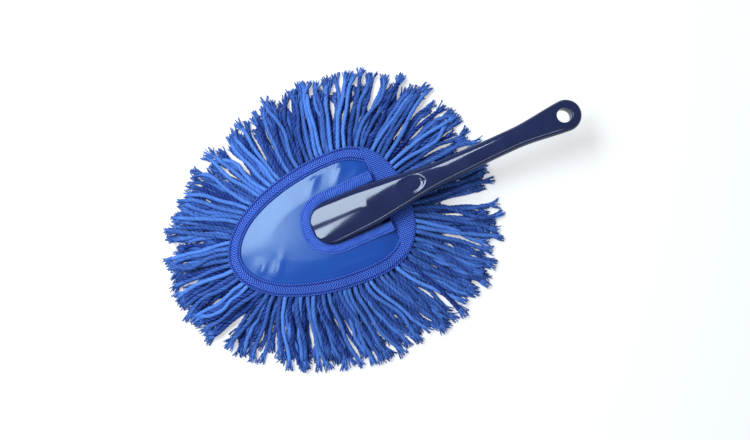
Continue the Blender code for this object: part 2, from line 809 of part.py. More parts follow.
def add_eye_hole(form, helpers):
    """The hanging hole's cutter, turned from a profile that flares at both faces."""
    radius, flare = EYE_HOLE_DIAMETER / 2, EYE_HOLE_FLARE
    top, bottom = form.crown(form.eye_x), form.crown(form.eye_x) - GRIP_THICKNESS
    profile = (
        (0.0, top + CUT_OVERRUN),
        (radius + flare, top + CUT_OVERRUN),
        (radius + flare, top),
        (radius + flare / 3, top - flare / 2),
        (radius, top - flare * 1.5),
        (radius, bottom + flare * 1.5),
        (radius + flare / 3, bottom + flare / 2),
        (radius + flare, bottom),
        (radius + flare, bottom - CUT_OVERRUN),
        (0.0, bottom - CUT_OVERRUN),
    )
    mesh = bpy.data.meshes.new("eye_hole")
    edges = [(i, i + 1) for i in range(len(profile) - 1)]
    mesh.from_pydata([(r, 0.0, z) for r, z in profile], edges, [])
    obj = finish_object(bpy.data.objects.new("eye_hole", mesh), helpers)
    obj.location.x = form.eye_x
    screw = obj.modifiers.new("turned", "SCREW")
    screw.steps = HOLE_STEPS
    screw.render_steps = HOLE_STEPS
    screw.use_merge_vertices = True
    screw.merge_threshold = 0.00001
    return obj


def add_thumb_dish(form, helpers):
    """The thumb rest's cutter: a flattened ball sunk into the top of the neck."""
    x = form.dish_x()
    bpy.ops.mesh.primitive_uv_sphere_add(segments=24, ring_count=12, radius=1.0)
    obj = finish_object(bpy.context.active_object, helpers)
    obj.name = "thumb_dish"
    tall = 2.5 * THUMB_DISH_DEPTH
    lift = tall - THUMB_DISH_DEPTH
    cut_share = math.sqrt(1 - (lift / tall) ** 2)
    slope = form.slope(x)
    obj.scale = (
        THUMB_DISH_LENGTH / 2 / cut_share,
        THUMB_DISH_WIDTH / 2 / cut_share * THUMB_DISH_FLANK_SHARE,
        tall,
    )
    obj.rotation_euler = (0.0, -slope, 0.0)
    obj.location = (x - lift * math.sin(slope), 0.0, form.top(x) + lift * math.cos(slope))
    return obj


def handle_stations(form):
    """Places along the handle where its section is drawn, closer at both ends."""
    nose = [NOSE_TIP_X + NOSE_ROUND_LENGTH * share for share in NOSE_STATION_SHARES]
    body = [NOSE_TIP_X + HANDLE_LENGTH * share for share in BODY_STATION_SHARES]
    radius = EYE_WIDTH / 2
    tail_x = form.end_x - radius
    tail = [tail_x + radius * math.sin(math.radians(angle)) for angle in TAIL_STATION_ANGLES]
    inner = [x for x in body if nose[-1] < x < tail[0]]
    return nose + inner + tail


def add_handle(collection, helpers, material):
    """The moulding: grip and nose in one skin, joined to the tongue, then hollowed."""
    form = HandleForm()
    bm = bmesh.new()
    add_loft(bm, [form.section(x) for x in handle_stations(form)])
    origin = (NOSE_TIP_X, 0.0, TONGUE_Z)
    bmesh.ops.translate(bm, verts=bm.verts, vec=[-value for value in origin])
    handle = object_from(bm, "handle", collection, material)
    handle.location = origin
    tongue = flat_piece(
        "handle_tongue",
        tongue_outline().at(outline_angles()),
        TONGUE_Z,
        TONGUE_THICKNESS,
        helpers,
        None,
    )
    boolean(handle, tongue, "UNION")
    hollow, ribs = add_handle_hollow(form, helpers)
    boolean(handle, hollow, "DIFFERENCE")
    boolean(handle, ribs, "UNION")
    boolean(handle, add_eye_hole(form, helpers), "DIFFERENCE")
    boolean(handle, add_thumb_dish(form, helpers), "DIFFERENCE")


def new_materials():
    """One material for each kind of stuff, with the photo's colours."""
    return {
        "navy": new_material("navy_plastic", (0.012, 0.020, 0.085), 0.12),
        "vinyl": new_material("blue_vinyl", (0.020, 0.120, 0.560), 0.22),
        "tape": new_material("blue_tape", (0.020, 0.040, 0.420), 0.85),
        "yarn": new_material("blue_yarn", (0.016, 0.080, 0.520), 0.92),
        "thread": new_material("blue_thread", (0.010, 0.025, 0.330), 0.70),
        "canvas": new_material("blue_canvas", (0.020, 0.050, 0.300), 0.95),
        "lining": new_material("navy_lining", (0.015, 0.025, 0.140), 0.90),
        "foam": new_material("grey_foam", (0.450, 0.460, 0.480), 0.95),
    }


def main():
    clear_scene()
    parts = new_collection(ASSEMBLY_NAME)
    helpers = new_collection(HELPERS_NAME)
    materials = new_materials()
    for row in fringe_rows():
        add_fringe_row(row, parts, materials["yarn"])
    add_filling(parts, materials)
    add_rear_band(parts, materials)
    add_cover(parts, materials)
    add_perimeter_binding(parts, materials)
    add_opening_binding(parts, materials)
    add_handle(parts, helpers, materials["navy"])


main()
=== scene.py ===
"""Looks of a hand duster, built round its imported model.

The sewn mop head lies on its yarn with its middle over the origin, the handle runs
towards +X and +Z is up. Lengths are in metres. Every new piece is a surface worked
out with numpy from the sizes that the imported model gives, and every soft solid of the
model is replaced by such a piece.
"""

import logging
import math
from dataclasses import dataclass, field, replace
from enum import Enum
from typing import Any, Sequence

import bmesh
import bpy
import numpy as np
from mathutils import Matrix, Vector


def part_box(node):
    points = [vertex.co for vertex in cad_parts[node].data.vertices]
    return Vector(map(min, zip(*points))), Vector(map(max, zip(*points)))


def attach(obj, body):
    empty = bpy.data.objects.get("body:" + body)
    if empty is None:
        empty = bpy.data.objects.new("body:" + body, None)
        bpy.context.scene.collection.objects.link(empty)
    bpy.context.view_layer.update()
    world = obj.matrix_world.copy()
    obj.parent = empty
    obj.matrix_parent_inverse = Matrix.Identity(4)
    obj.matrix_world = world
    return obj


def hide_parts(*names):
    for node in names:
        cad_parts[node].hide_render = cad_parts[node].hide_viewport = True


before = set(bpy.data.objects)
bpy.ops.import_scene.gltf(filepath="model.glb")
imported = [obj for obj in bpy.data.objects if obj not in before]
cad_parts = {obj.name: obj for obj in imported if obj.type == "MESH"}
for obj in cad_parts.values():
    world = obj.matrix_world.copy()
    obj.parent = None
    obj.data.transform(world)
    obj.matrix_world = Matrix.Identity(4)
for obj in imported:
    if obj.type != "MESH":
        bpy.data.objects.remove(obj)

LOG = logging.getLogger("duster")
LAYER_GAP = 0.0003
HEADER_DEPTH = 0.0024
LINE_POINTS = 1441
UP = np.array((0.0, 0.0, 1.0))
Array = np.ndarray
Material = bpy.types.Material
Finishes = dict[str, Material]
Colour = tuple[float, float, float]


class Body(Enum):
    """The two rigid bodies that pieces ride on."""

    HEAD = "mop_head"
    HANDLE = "handle"


class Slot(Enum):
    """Material slots of the record."""

    PLASTIC = "navy_plastic"
    VINYL = "blue_vinyl"
    TAPE = "blue_tape"
    YARN = "blue_yarn"
    THREAD = "blue_thread"
    CANVAS = "blue_canvas"
    LINING = "navy_lining"
    FOAM = "grey_foam"


class Weave(Enum):
    """How the threads of a cloth cross: the value is the slant of its ribs."""

    PLAIN = 0.0
    TWILL = 1.0


def eased(value: Array, start: float, end: float) -> Array:
    """A smooth step: 0 up to the start, 1 from the end on, 3s^2 - 2s^3 between."""
    share = np.clip((np.asarray(value, float) - start) / (end - start), 0.0, 1.0)
    return share * share * (3 - 2 * share)


def rounded_end(distance: Array, length: float, power: float) -> Array:
    """Fullness of a shape near its round end: (1 - s^p)^(1/p), s = 1 at the end."""
    short = np.clip(1 - np.asarray(distance, float) / length, 0.0, 1.0)
    return (1 - short**power) ** (1 / power)


def full_turn(count: int) -> Array:
    """Angles once round, without the last one that would repeat the first."""
    return np.linspace(0.0, 2 * math.pi, count, endpoint=False)


def bell(off: Array, width: float) -> Array:
    """A bell curve: exp(-(off / width)^2)."""
    return np.exp(-((off / width) ** 2))


def signed_power(value: Array, power: float | Array) -> Array:
    """A power that keeps the sign of its base."""
    return np.sign(value) * np.abs(value) ** power


def path_lengths(points: Array) -> Array:
    """Length travelled to each point of a line of points."""
    steps = np.linalg.norm(np.diff(points, axis=0), axis=1)
    return np.concatenate(([0.0], np.cumsum(steps)))


def resampled(points: Array, count: int) -> Array:
    """The same open line with points at equal lengths along it."""
    travelled = path_lengths(points)
    wanted = np.linspace(0.0, travelled[-1], count)
    return np.column_stack([np.interp(wanted, travelled, column) for column in points.T])


def lifted(points: Array, heights: float | Array) -> Array:
    """Points (..., 2) made (..., 3), at one height or at one for each."""
    heights = np.broadcast_to(heights, points.shape[:-1])
    return np.concatenate((points, heights[..., None]), axis=-1)


def moved_aside(lines: Array, ahead: Array, by: Array) -> Array:
    """Lines (n, points, 2) moved to the left of their headings (n, 2)."""
    side = np.stack((-ahead[:, 1], ahead[:, 0]), axis=-1)
    return lines + side[:, None] * by[..., None]


def oval(low: Array, top: Array, full: float | Array) -> tuple[Array, Array]:
    """A section's upper and lower face, drawn to its middle where it isn't full."""
    middle = (top + low) / 2
    return middle + (top - middle) * full, middle - (middle - low) * full


def shoelace(ring: Array) -> float:
    """Area inside a closed line: half the sum of its corners' cross products."""
    x, y = ring[:, 0], ring[:, 1]
    return float(abs(np.dot(x, np.roll(y, -1)) - np.dot(y, np.roll(x, -1))) / 2)


def unit(vectors: Array) -> Array:
    """Vectors of length 1 in the same directions."""
    return vectors / np.maximum(np.linalg.norm(vectors, axis=-1, keepdims=True), 1e-12)


def slow_noise(places: Array, seed: int, waves: Sequence[int]) -> Array:
    """Smooth periodic noise: a sum of sines, each with a seeded phase and size."""
    chance = np.random.default_rng(seed)
    total = np.zeros_like(np.asarray(places, float))
    for wave in waves:
        phase, size = chance.uniform(0, 2 * math.pi), chance.uniform(0.6, 1.0)
        total += size * np.sin(wave * places + phase)
    return total / math.sqrt(len(waves))


@dataclass(frozen=True)
class Egg:
    """An egg outline about a widest line, with its own roundness at each end.

    At angle t, x is the widest line plus the reach times sign(cos t)|cos t|^(2/p)
    and y is the half width times sign(sin t)|sin t|^(2/p).
    """

    widest_x: float
    front: float
    rear: float
    half: float
    front_power: float
    rear_power: float

    def inset(self, by: float) -> "Egg":
        """The same egg, drawn in by a length at both ends and at the sides."""
        return replace(
            self, front=self.front - by, rear=self.rear - by, half=self.half - by
        )

    def at(self, angles: Array) -> Array:
        """Points (n, 2) at these angles; angle 0 is the rear end."""
        cos, sin = np.cos(angles), np.sin(angles)
        reach = np.where(cos < 0, self.front, self.rear)
        power = 2 / np.where(cos < 0, self.front_power, self.rear_power)
        x = self.widest_x + reach * signed_power(cos, power)
        return np.stack((x, self.half * signed_power(sin, power)), axis=-1)

    def rear_angle(self, x: float) -> float:
        """The angle where the rear half crosses this x, or 0 past its end."""
        share = min(max((x - self.widest_x) / self.rear, 0.0), 1.0)
        return math.acos(share ** (self.rear_power / 2))

    def half_at(self, x: float) -> float:
        """Half the width of the rear half at this x."""
        return float(self.at(np.array([self.rear_angle(x)]))[0, 1])

    def perimeter(self) -> float:
        """Length once round."""
        return float(path_lengths(self._dense())[-1])

    def area(self) -> float:
        """Area inside the outline."""
        return shoelace(self._dense())

    def angles_at(self, lengths: Array) -> Array:
        """The angles that lie these lengths round from the rear end."""
        travelled = path_lengths(self._dense())
        dense = np.linspace(0.0, 2 * math.pi, len(travelled))
        turns, rest = np.divmod(lengths, travelled[-1])
        return np.interp(rest, travelled, dense) + turns * 2 * math.pi

    def even_angles(self, count: int) -> Array:
        """Angles that spread points evenly along the outline."""
        return self.angles_at(np.arange(count) * self.perimeter() / count)

    def _dense(self) -> Array:
        """Points close together once round."""
        return self.at(np.linspace(0.0, 2 * math.pi, 2 * LINE_POINTS - 1))


@dataclass
class Surface:
    """One mesh as whole arrays: points, faces, and a coordinate for each corner."""

    points: Array
    quads: Array
    quad_uv: Array
    triangles: Array = field(default_factory=lambda: np.zeros((0, 3), int))
    triangle_uv: Array = field(default_factory=lambda: np.zeros((0, 3, 2)))
    marks: dict[str, Array] = field(default_factory=dict)

    @classmethod
    def grid(
        cls, points: Array, u: Array, v: Array, wrap_rows: bool, wrap_columns: bool
    ) -> "Surface":
        """Faces between the neighbours of one grid of points, or of many alike.

        Args:
            points: (..., rows, columns, 3).
            u: coordinate across, (columns) or one more where columns wrap.
            v: coordinate along, (..., rows) or one more where rows wrap.
            wrap_rows: join the last row to the first.
            wrap_columns: join the last column to the first.

        Returns:
            The surface; its faces look along rows x columns turned right-handed.
        """
        shape = points.shape[:-1]
        index = np.arange(math.prod(shape)).reshape(shape)
        if wrap_columns:
            index = np.concatenate((index, index[..., :1]), axis=-1)
        if wrap_rows:
            index = np.concatenate((index, index[..., :1, :]), axis=-2)
        across = np.broadcast_to(u, index.shape)
        along = np.broadcast_to(np.asarray(v)[..., None], index.shape)
        uv = np.stack((across, along), axis=-1)
        corners = (
            (slice(None, -1), slice(None, -1)), (slice(None, -1), slice(1, None)),
            (slice(1, None), slice(1, None)), (slice(1, None), slice(None, -1)),
        )
        quads = np.stack([index[(..., *corner)] for corner in corners], axis=-1)
        quad_uv = np.stack([uv[(..., *corner, slice(None))] for corner in corners], axis=-2)
        return cls(points.reshape(-1, 3), quads.reshape(-1, 4), quad_uv.reshape(-1, 4, 2))

    @classmethod
    def loft(cls, rings: Array, around: Array, along: Array) -> "Surface":
        """Closed bodies: rings joined one to the next, with a fan over each end.

        Args:
            rings: (..., stations, sides, 3), one body or many alike.
            around: coordinate round a ring, one more than its sides.
            along: coordinate of each ring.

        Returns:
            One surface; the points of the fans' middles come last.
        """
        surface = cls.grid(rings, around, along, False, True)
        stations, sides = rings.shape[-3:-1]
        count = math.prod(rings.shape[:-3])
        rings = rings.reshape(count, stations, sides, 3)
        index = np.arange(count * stations * sides).reshape(count, stations, sides)
        first = len(surface.points) + np.arange(count)
        fans = []
        for ring, centre in ((index[:, 0, ::-1], first), (index[:, -1], first + count)):
            middle = np.broadcast_to(centre[:, None], ring.shape)
            fans.append(np.stack((ring, np.roll(ring, -1, axis=1), middle), axis=-1))
        ends = (rings[:, 0].mean(axis=1), rings[:, -1].mean(axis=1))
        surface.points = np.concatenate((surface.points, *ends))
        surface.triangles = np.concatenate([fan.reshape(-1, 3) for fan in fans])
        surface.triangle_uv = np.zeros((len(surface.triangles), 3, 2))
        return surface

    def laid_flat(self) -> "Surface":
        """The same surface, its coordinates being x and y in metres."""
        self.quad_uv = self.points[self.quads][..., :2]
        self.triangle_uv = self.points[self.triangles][..., :2]
        return self

    @classmethod
    def joined(cls, parts: Sequence["Surface"]) -> "Surface":
        """Several surfaces as one, with the marks that all of them have."""
        starts = np.cumsum([0] + [len(part.points) for part in parts[:-1]])
        names = set(parts[0].marks).intersection(*(part.marks for part in parts))
        return cls(
            np.concatenate([part.points for part in parts]),
            np.concatenate([part.quads + start for part, start in zip(parts, starts)]),
            np.concatenate([part.quad_uv for part in parts]),
            np.concatenate([part.triangles + start for part, start in zip(parts, starts)]),
            np.concatenate([part.triangle_uv for part in parts]),
            {name: np.concatenate([part.marks[name] for part in parts]) for name in names},
        )

    def mesh(self, name: str, outward: bool) -> bpy.types.Mesh:
        """The arrays as a smooth Blender mesh."""
        mesh = bpy.data.meshes.new(name)
        faces = self.quads.tolist() + self.triangles.tolist()
        mesh.from_pydata(self.points.tolist(), [], faces)
        uv = np.concatenate((self.quad_uv.reshape(-1, 2), self.triangle_uv.reshape(-1, 2)))
        layer = mesh.uv_layers.new(name="surface")
        layer.data.foreach_set("uv", uv.astype(np.float32).ravel())
        for mark, values in self.marks.items():
            attribute = mesh.attributes.new(mark, "FLOAT", "POINT")
            attribute.data.foreach_set("value", values.astype(np.float32))
        if outward:
            turn_outward(mesh)
        mesh.shade_smooth()
        return mesh


def turn_outward(mesh: bpy.types.Mesh) -> None:
    """Turns the faces of closed shells so that they look out."""
    bm = bmesh.new()
    bm.from_mesh(mesh)
    bmesh.ops.recalc_face_normals(bm, faces=bm.faces)
    bm.to_mesh(mesh)
    bm.free()


@dataclass(frozen=True)
class Tubes:
    """Many closed tubes alike in count, swept along paths.

    A ring point is the path's point plus side * wide * r cos a + lift * tall * r sin a,
    where side and lift are square to the path and a turns with the twist.
    """

    sides: int
    twist_pitch: float = 0.0
    relief: tuple[float, ...] = (1.0,)

    def surface(self, paths: Array, wide: Array, tall: Array, phase: Array) -> Surface:
        """Sweeps the ring along each path.

        Args:
            paths: (tubes, stations, 3).
            wide: half widths, (tubes, stations) or alike.
            tall: half heights, in the same way.
            phase: the angle that each tube's ring starts at, (tubes).

        Returns:
            One surface of closed tubes, marked with relief 0 to 1.
        """
        count, stations = paths.shape[:2]
        ahead = unit(np.gradient(paths, axis=1))
        side = unit(np.cross(UP, ahead))
        lift = np.cross(ahead, side)
        steps = np.linalg.norm(np.diff(paths, axis=1), axis=2)
        along = np.concatenate((np.zeros((count, 1)), np.cumsum(steps, axis=1)), axis=1)
        turn = 2 * math.pi * along / self.twist_pitch if self.twist_pitch else 0 * along
        angle = (phase[:, None] + turn)[..., None] + full_turn(self.sides)
        relief = np.resize(self.relief, self.sides)
        radial = np.broadcast_to(wide, (count, stations))[..., None] * relief
        upright = np.broadcast_to(tall, (count, stations))[..., None] * relief
        rings = (
            paths[:, :, None]
            + side[:, :, None] * (radial * np.cos(angle))[..., None]
            + lift[:, :, None] * (upright * np.sin(angle))[..., None]
        )
        around = np.arange(self.sides + 1) / self.sides
        surface = Surface.loft(rings, around, along)
        ply = (relief - relief.min()) / max(float(np.ptp(relief)), 1e-9)
        ply = np.broadcast_to(ply, rings.shape[:3]).ravel()
        surface.marks["ply"] = np.concatenate((ply, np.ones(2 * count)))
        return surface


class Wiring:
    """Adds nodes to one node tree, and sets or links their inputs by name."""

    def __init__(self, tree: bpy.types.NodeTree) -> None:
        """Keeps the tree."""
        self.tree = tree

    def add(self, kind: str, inputs: dict[Any, Any] | None = None, **settings: Any) -> Any:
        """A node of this kind: its settings, then its inputs by name or number.

        An input is given a value, or the socket to link to it.
        """
        node = self.tree.nodes.new("ShaderNode" + kind)
        for name, value in settings.items():
            setattr(node, name, value)
        for key, value in (inputs or {}).items():
            if isinstance(value, bpy.types.NodeSocket):
                self.tree.links.new(value, node.inputs[key])
            else:
                node.inputs[key].default_value = value
        return node

    def math(self, operation: str, *values: Any, clamp: bool = False) -> Any:
        """The result of one sum on values or sockets."""
        inputs = dict(enumerate(values))
        return self.add("Math", inputs, operation=operation, use_clamp=clamp).outputs[0]

    def blend(self, share: Any, first: Colour, second: Colour) -> Any:
        """A mix of two colours, by a share from 0 to 1."""
        inputs = {0: share, 6: (*first, 1.0), 7: (*second, 1.0)}
        return self.add("Mix", inputs, data_type="RGBA").outputs[2]

    def group(self, tree: bpy.types.NodeTree, **inputs: Any) -> Any:
        """The outputs of a node that stands for a node group."""
        return self.add("Group", inputs, node_tree=tree).outputs

    def mark(self, name: str) -> Any:
        """The value of one of the mesh's marks."""
        return self.add("Attribute", attribute_name=name).outputs["Fac"]

    def flat_place(self) -> Any:
        """The mesh's own coordinates on its surface."""
        return self.add("UVMap", uv_map="surface").outputs[0]

    def object_place(self) -> Any:
        """The place in the model's frame."""
        return self.add("TexCoord").outputs["Object"]


def new_group(name: str, inputs: dict[str, Any], outputs: Sequence[str]) -> tuple[Any, ...]:
    """An empty node group: its wiring, the sockets given to it and those it gives.

    An input's default is a number, or None for a vector. Every output is a number.
    """
    tree = bpy.data.node_groups.new(name, "ShaderNodeTree")
    for socket, value in inputs.items():
        kind = "NodeSocketVector" if value is None else "NodeSocketFloat"
        made = tree.interface.new_socket(socket, in_out="INPUT", socket_type=kind)
        if value is not None:
            made.default_value = value
    for socket in outputs:
        tree.interface.new_socket(socket, in_out="OUTPUT", socket_type="NodeSocketFloat")
    wiring = Wiring(tree)
    source = tree.nodes.new("NodeGroupInput")
    target = tree.nodes.new("NodeGroupOutput")
    return wiring, source.outputs, target.inputs


def woven_threads() -> bpy.types.NodeTree:
    """Threads that cross: their height, and a mask of the gaps between them.

    The ribs run where (across * slant + along) / pitch is whole, and threads cross
    them at twice the pitch; a little noise makes both uneven.
    """
    wiring, given, out = new_group(
        "woven_threads", {"Place": None, "Pitch": 0.001, "Slant": 0.0, "Unevenness": 0.2},
        ("Height", "Gap"),
    )
    noise = wiring.add("TexNoise", {"Vector": given["Place"], "Scale": 900.0, "Detail": 2.0})
    split = wiring.add("SeparateXYZ", {"Vector": given["Place"]}).outputs
    stray = wiring.math("SUBTRACT", noise.outputs[0], 0.5)
    stray = wiring.math("MULTIPLY", stray, given["Unevenness"])
    waves = []
    for straight, crossed, sign in ((split[1], split[0], 1.0), (split[0], split[1], -1.0)):
        slant = wiring.math("MULTIPLY", crossed, given["Slant"])
        place = wiring.math("MULTIPLY_ADD", slant, sign, straight)
        turns = wiring.math("DIVIDE", place, given["Pitch"])
        turns = wiring.math("ADD", turns, stray)
        sine = wiring.math("SINE", wiring.math("MULTIPLY", turns, 2 * math.pi))
        waves.append(wiring.math("MULTIPLY_ADD", sine, 0.5, 0.5))
    crossing = wiring.math("MULTIPLY", waves[1], 0.35)
    height = wiring.math("MULTIPLY_ADD", waves[0], 0.65, crossing)
    grain = wiring.math("MULTIPLY_ADD", stray, 1.2, height)
    wiring.tree.links.new(grain, out["Height"])
    gap = wiring.math("SUBTRACT", 1.0, height)
    wiring.tree.links.new(wiring.math("POWER", gap, 2.5, clamp=True), out["Gap"])
    return wiring.tree


def spun_fibres() -> bpy.types.NodeTree:
    """Fine fibres laid along a thread: their height, and light and dark streaks.

    Noise on the place across times the fibres, and along over the fibre length.
    """
    wiring, given, out = new_group(
        "spun_fibres", {"Place": None, "Fibres": 18.0, "Length": 0.004}, ("Height", "Streak")
    )
    split = wiring.add("SeparateXYZ", {"Vector": given["Place"]}).outputs
    across = wiring.math("MULTIPLY", split[0], given["Fibres"])
    along = wiring.math("DIVIDE", split[1], given["Length"])
    place = wiring.add("CombineXYZ", {"X": across, "Y": along, "Z": split[2]}).outputs[0]
    for socket, scale, detail in (("Height", 1.0, 3.0), ("Streak", 0.35, 2.0)):
        noise = wiring.add("TexNoise", {"Vector": place, "Scale": scale, "Detail": detail})
        wiring.tree.links.new(noise.outputs[0], out[socket])
    return wiring.tree


def slow_patches() -> bpy.types.NodeTree:
    """Broad uneven patches over an object, such as fading, dust or dye: 0 to 1."""
    wiring, given, out = new_group("slow_patches", {"Place": None, "Density": 25.0}, ("Patch",))
    inputs = {"Vector": given["Place"], "Scale": given["Density"], "Detail": 3.0}
    noise = wiring.add("TexNoise", inputs)
    centred = wiring.math("SUBTRACT", noise.outputs[0], 0.5)
    patch = wiring.math("MULTIPLY_ADD", centred, 1.5, 0.5, clamp=True)
    wiring.tree.links.new(patch, out["Patch"])
    return wiring.tree


class Mixer:
    """Mixes the finishes: materials whose detail comes from shared node groups."""

    def __init__(self) -> None:
        """Makes the node groups."""
        self.woven, self.fibres, self.patches = woven_threads(), spun_fibres(), slow_patches()

    @staticmethod
    def start(name: str, settings: dict[str, Any]) -> tuple[Material, Wiring]:
        """A material whose shader has these sockets set, and its wiring."""
        made = bpy.data.materials.new(name)
        made.use_nodes = True
        for key, value in settings.items():
            made.node_tree.nodes["Principled BSDF"].inputs[key].default_value = value
        return made, Wiring(made.node_tree)

    @staticmethod
    def finish(wiring: Wiring, bump: dict[str, Any], sockets: dict[str, Any]) -> None:
        """Links sockets and a bump to the shader."""
        sockets = {**sockets, "Normal": wiring.add("Bump", bump).outputs[0]}
        for key, socket in sockets.items():
            wiring.tree.links.new(socket, wiring.tree.nodes["Principled BSDF"].inputs[key])

    def yarn(self, name: str, light: Colour, deep: Colour) -> Material:
        """Dyed cotton yarn: soft sheen and fine fibres, with painted shade in the valleys between
        plies and on the rows that lie underneath.
        """
        made, wiring = self.start(name, {
            "Roughness": 0.95, "Specular IOR Level": 0.18, "Sheen Weight": 0.22,
            "Sheen Roughness": 0.45, "Sheen Tint": (0.35, 0.55, 1.0, 1.0),
        })
        fibres = wiring.group(self.fibres, Place=wiring.flat_place(), Fibres=16.0, Length=0.0045)
        shade, ply = wiring.mark("shade"), wiring.mark("ply")
        tone = wiring.math("MULTIPLY_ADD", fibres["Streak"], 0.9, -0.40)
        # The shade mark brings each strand's random tone times its row's painted shade factor.
        tone = wiring.math("ADD", wiring.math("MULTIPLY", shade, 0.90), tone)
        # Painted shade between plies: the ply ridges lighter, the valleys between them darker.
        tone = wiring.math("MULTIPLY_ADD", ply, 0.18, tone, clamp=True)
        colour = wiring.blend(tone, deep, light)
        bump = {"Height": fibres["Height"], "Distance": 0.00022, "Strength": 0.9}
        self.finish(wiring, bump, {"Base Color": colour})
        return made

    def cloth(
        self, name: str, light: Colour, deep: Colour, weave: Weave, pitch: float,
        depth: float, gap_shade_strength: float = 1.0,
    ) -> Material:
        """Woven cloth or tape: threads that cross, with painted shade in the gaps between them
        and in the grooves, and uneven dye.
        """
        made, wiring = self.start(name, {
            "Roughness": 0.8, "Specular IOR Level": 0.25,
            "Sheen Weight": 0.25, "Sheen Tint": (0.4, 0.5, 1.0, 1.0),
        })
        height = wiring.group(
            self.woven, Place=wiring.flat_place(), Pitch=pitch, Slant=weave.value,
            Unevenness=0.35,
        )["Height"]
        patch = wiring.group(self.patches, Place=wiring.object_place(), Density=60.0)[0]
        # Painted shade: the colour darkens where the threads lie low, in the gaps between them.
        shade_and_dye = wiring.math("SUBTRACT", 0.55, height)
        shade_and_dye = wiring.math("MULTIPLY_ADD", shade_and_dye, 2.0 * gap_shade_strength, 0.35)
        # Uneven dye from the broad patches.
        shade_and_dye = wiring.math("MULTIPLY_ADD", patch, 0.25, shade_and_dye)
        # Painted shade in the seam grooves and between the tape's ribs, from their mark.
        shade_and_dye = wiring.math("MULTIPLY_ADD", wiring.mark("groove"), 0.9, shade_and_dye, clamp=True)
        colour = wiring.blend(shade_and_dye, light, deep)
        bump = {"Height": height, "Distance": depth, "Strength": 0.8}
        self.finish(wiring, bump, {"Base Color": colour})
        return made

    def vinyl(self, name: str, light: Colour, deep: Colour) -> Material:
        """Coated fabric: a gloss that shows the cloth under it as a fine grain."""
        made, wiring = self.start(name, {
            "IOR": 1.5, "Specular Tint": (0.66, 0.98, 0.92, 1.0),
            "Coat Weight": 0.25, "Coat Roughness": 0.12,
        })
        place = wiring.object_place()
        grain = wiring.group(self.woven, Place=place, Pitch=0.0009, Slant=0.0, Unevenness=0.5)
        patch = wiring.group(self.patches, Place=place, Density=30.0)[0]
        colour = wiring.blend(patch, light, deep)
        rough = wiring.math("MULTIPLY_ADD", patch, 0.06, 0.20)
        bump = {"Height": grain["Height"], "Distance": 0.00002, "Strength": 0.6}
        self.finish(wiring, bump, {"Base Color": colour, "Roughness": rough})
        return made

    def moulded(self, name: str, light: Colour, deep: Colour) -> Material:
        """Polished moulded plastic with a trace of handling on its gloss."""
        made, wiring = self.start(name, {"IOR": 1.68, "Specular Tint": (0.83, 0.91, 1.0, 1.0)})
        place = wiring.object_place()
        patch = wiring.group(self.patches, Place=place, Density=45.0)[0]
        colour = wiring.blend(patch, deep, light)
        rough = wiring.math("MULTIPLY_ADD", patch, 0.05, 0.06)
        noise = wiring.add("TexNoise", {"Vector": place, "Scale": 55.0, "Detail": 1.0})
        bump = {"Height": noise.outputs[0], "Distance": 0.0002, "Strength": 0.25}
        self.finish(wiring, bump, {"Base Color": colour, "Roughness": rough})
        return made

    def foam(self, name: str, light: Colour, deep: Colour) -> Material:
        """Open-cell foam: a fine pitted face, with painted shade in its hollows."""
        made, wiring = self.start(name, {"Roughness": 1.0, "Specular IOR Level": 0.1})
        cells = wiring.add("TexVoronoi", {"Vector": wiring.object_place(), "Scale": 900.0})
        pit_height_and_shade = cells.outputs["Distance"]
        # Painted shade: the colour turns deep towards the bottom of each hollow.
        colour = wiring.blend(pit_height_and_shade, deep, light)
        self.finish(wiring, {"Height": pit_height_and_shade, "Distance": 0.0004}, {"Base Color": colour})
        return made

    def mixed(self) -> dict[str, Material]:
        """Every finish of the duster, in the colours read off the photograph."""
        twill = ((0.090, 0.240, 0.98), (0.006, 0.016, 0.20), Weave.TWILL)
        tape = ((0.170, 0.420, 1.0), (0.010, 0.040, 0.52), Weave.TWILL)
        thread = ((0.02, 0.05, 0.42), (0.008, 0.02, 0.2), Weave.TWILL)
        canvas = ((0.03, 0.08, 0.42), (0.012, 0.03, 0.2), Weave.PLAIN)
        lining = ((0.02, 0.035, 0.18), (0.008, 0.014, 0.08), Weave.PLAIN)
        return {
            # The yarn's light and deep colours are its lit and its shaded tone; the mix between
            # them is partly random and partly painted shade.
            "yarn": self.yarn("cotton_yarn", (0.130, 0.330, 0.96), (0.006, 0.018, 0.20)),
            "vinyl": self.vinyl("coated_vinyl", (0.014, 0.098, 0.50), (0.011, 0.072, 0.43)),
            "binding": self.cloth("edge_twill", *twill, 0.0023, 0.0003),
            "tape": self.cloth("opening_twill", *tape, 0.0009, 0.00012, 0.4),
            "strip": self.cloth("strip_weave", *twill, 0.0022, 0.0003),
            "thread": self.cloth("sewing_thread", *thread, 0.0004, 0.00004),
            "canvas": self.cloth("plain_canvas", *canvas, 0.0009, 0.00012),
            "lining": self.cloth("lining_cloth", *lining, 0.0005, 0.00005),
            "foam": self.foam("soft_foam", (0.45, 0.46, 0.48), (0.27, 0.276, 0.288)),
            "moulded": self.moulded(
                "moulded_navy", (0.0152, 0.0264, 0.1192), (0.007, 0.014, 0.072)
            ),
        }


def linked(name: str, data: Any) -> bpy.types.Object:
    """A new object in the scene."""
    made = bpy.data.objects.new(name, data)
    bpy.context.scene.collection.objects.link(made)
    return made


def add_piece(
    name: str, material: Material, node: str, mesh: bpy.types.Mesh,
    body: Body = Body.HEAD,
) -> bpy.types.Object:
    """Puts a mesh in the scene as the piece that stands for a node and rides on a body."""
    made = linked(name, mesh)
    mesh.materials.append(material)
    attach(made, body.value)
    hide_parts(node)
    LOG.info("%s: %d faces, rides on %s", made.name, len(mesh.polygons), body.value)
    return made


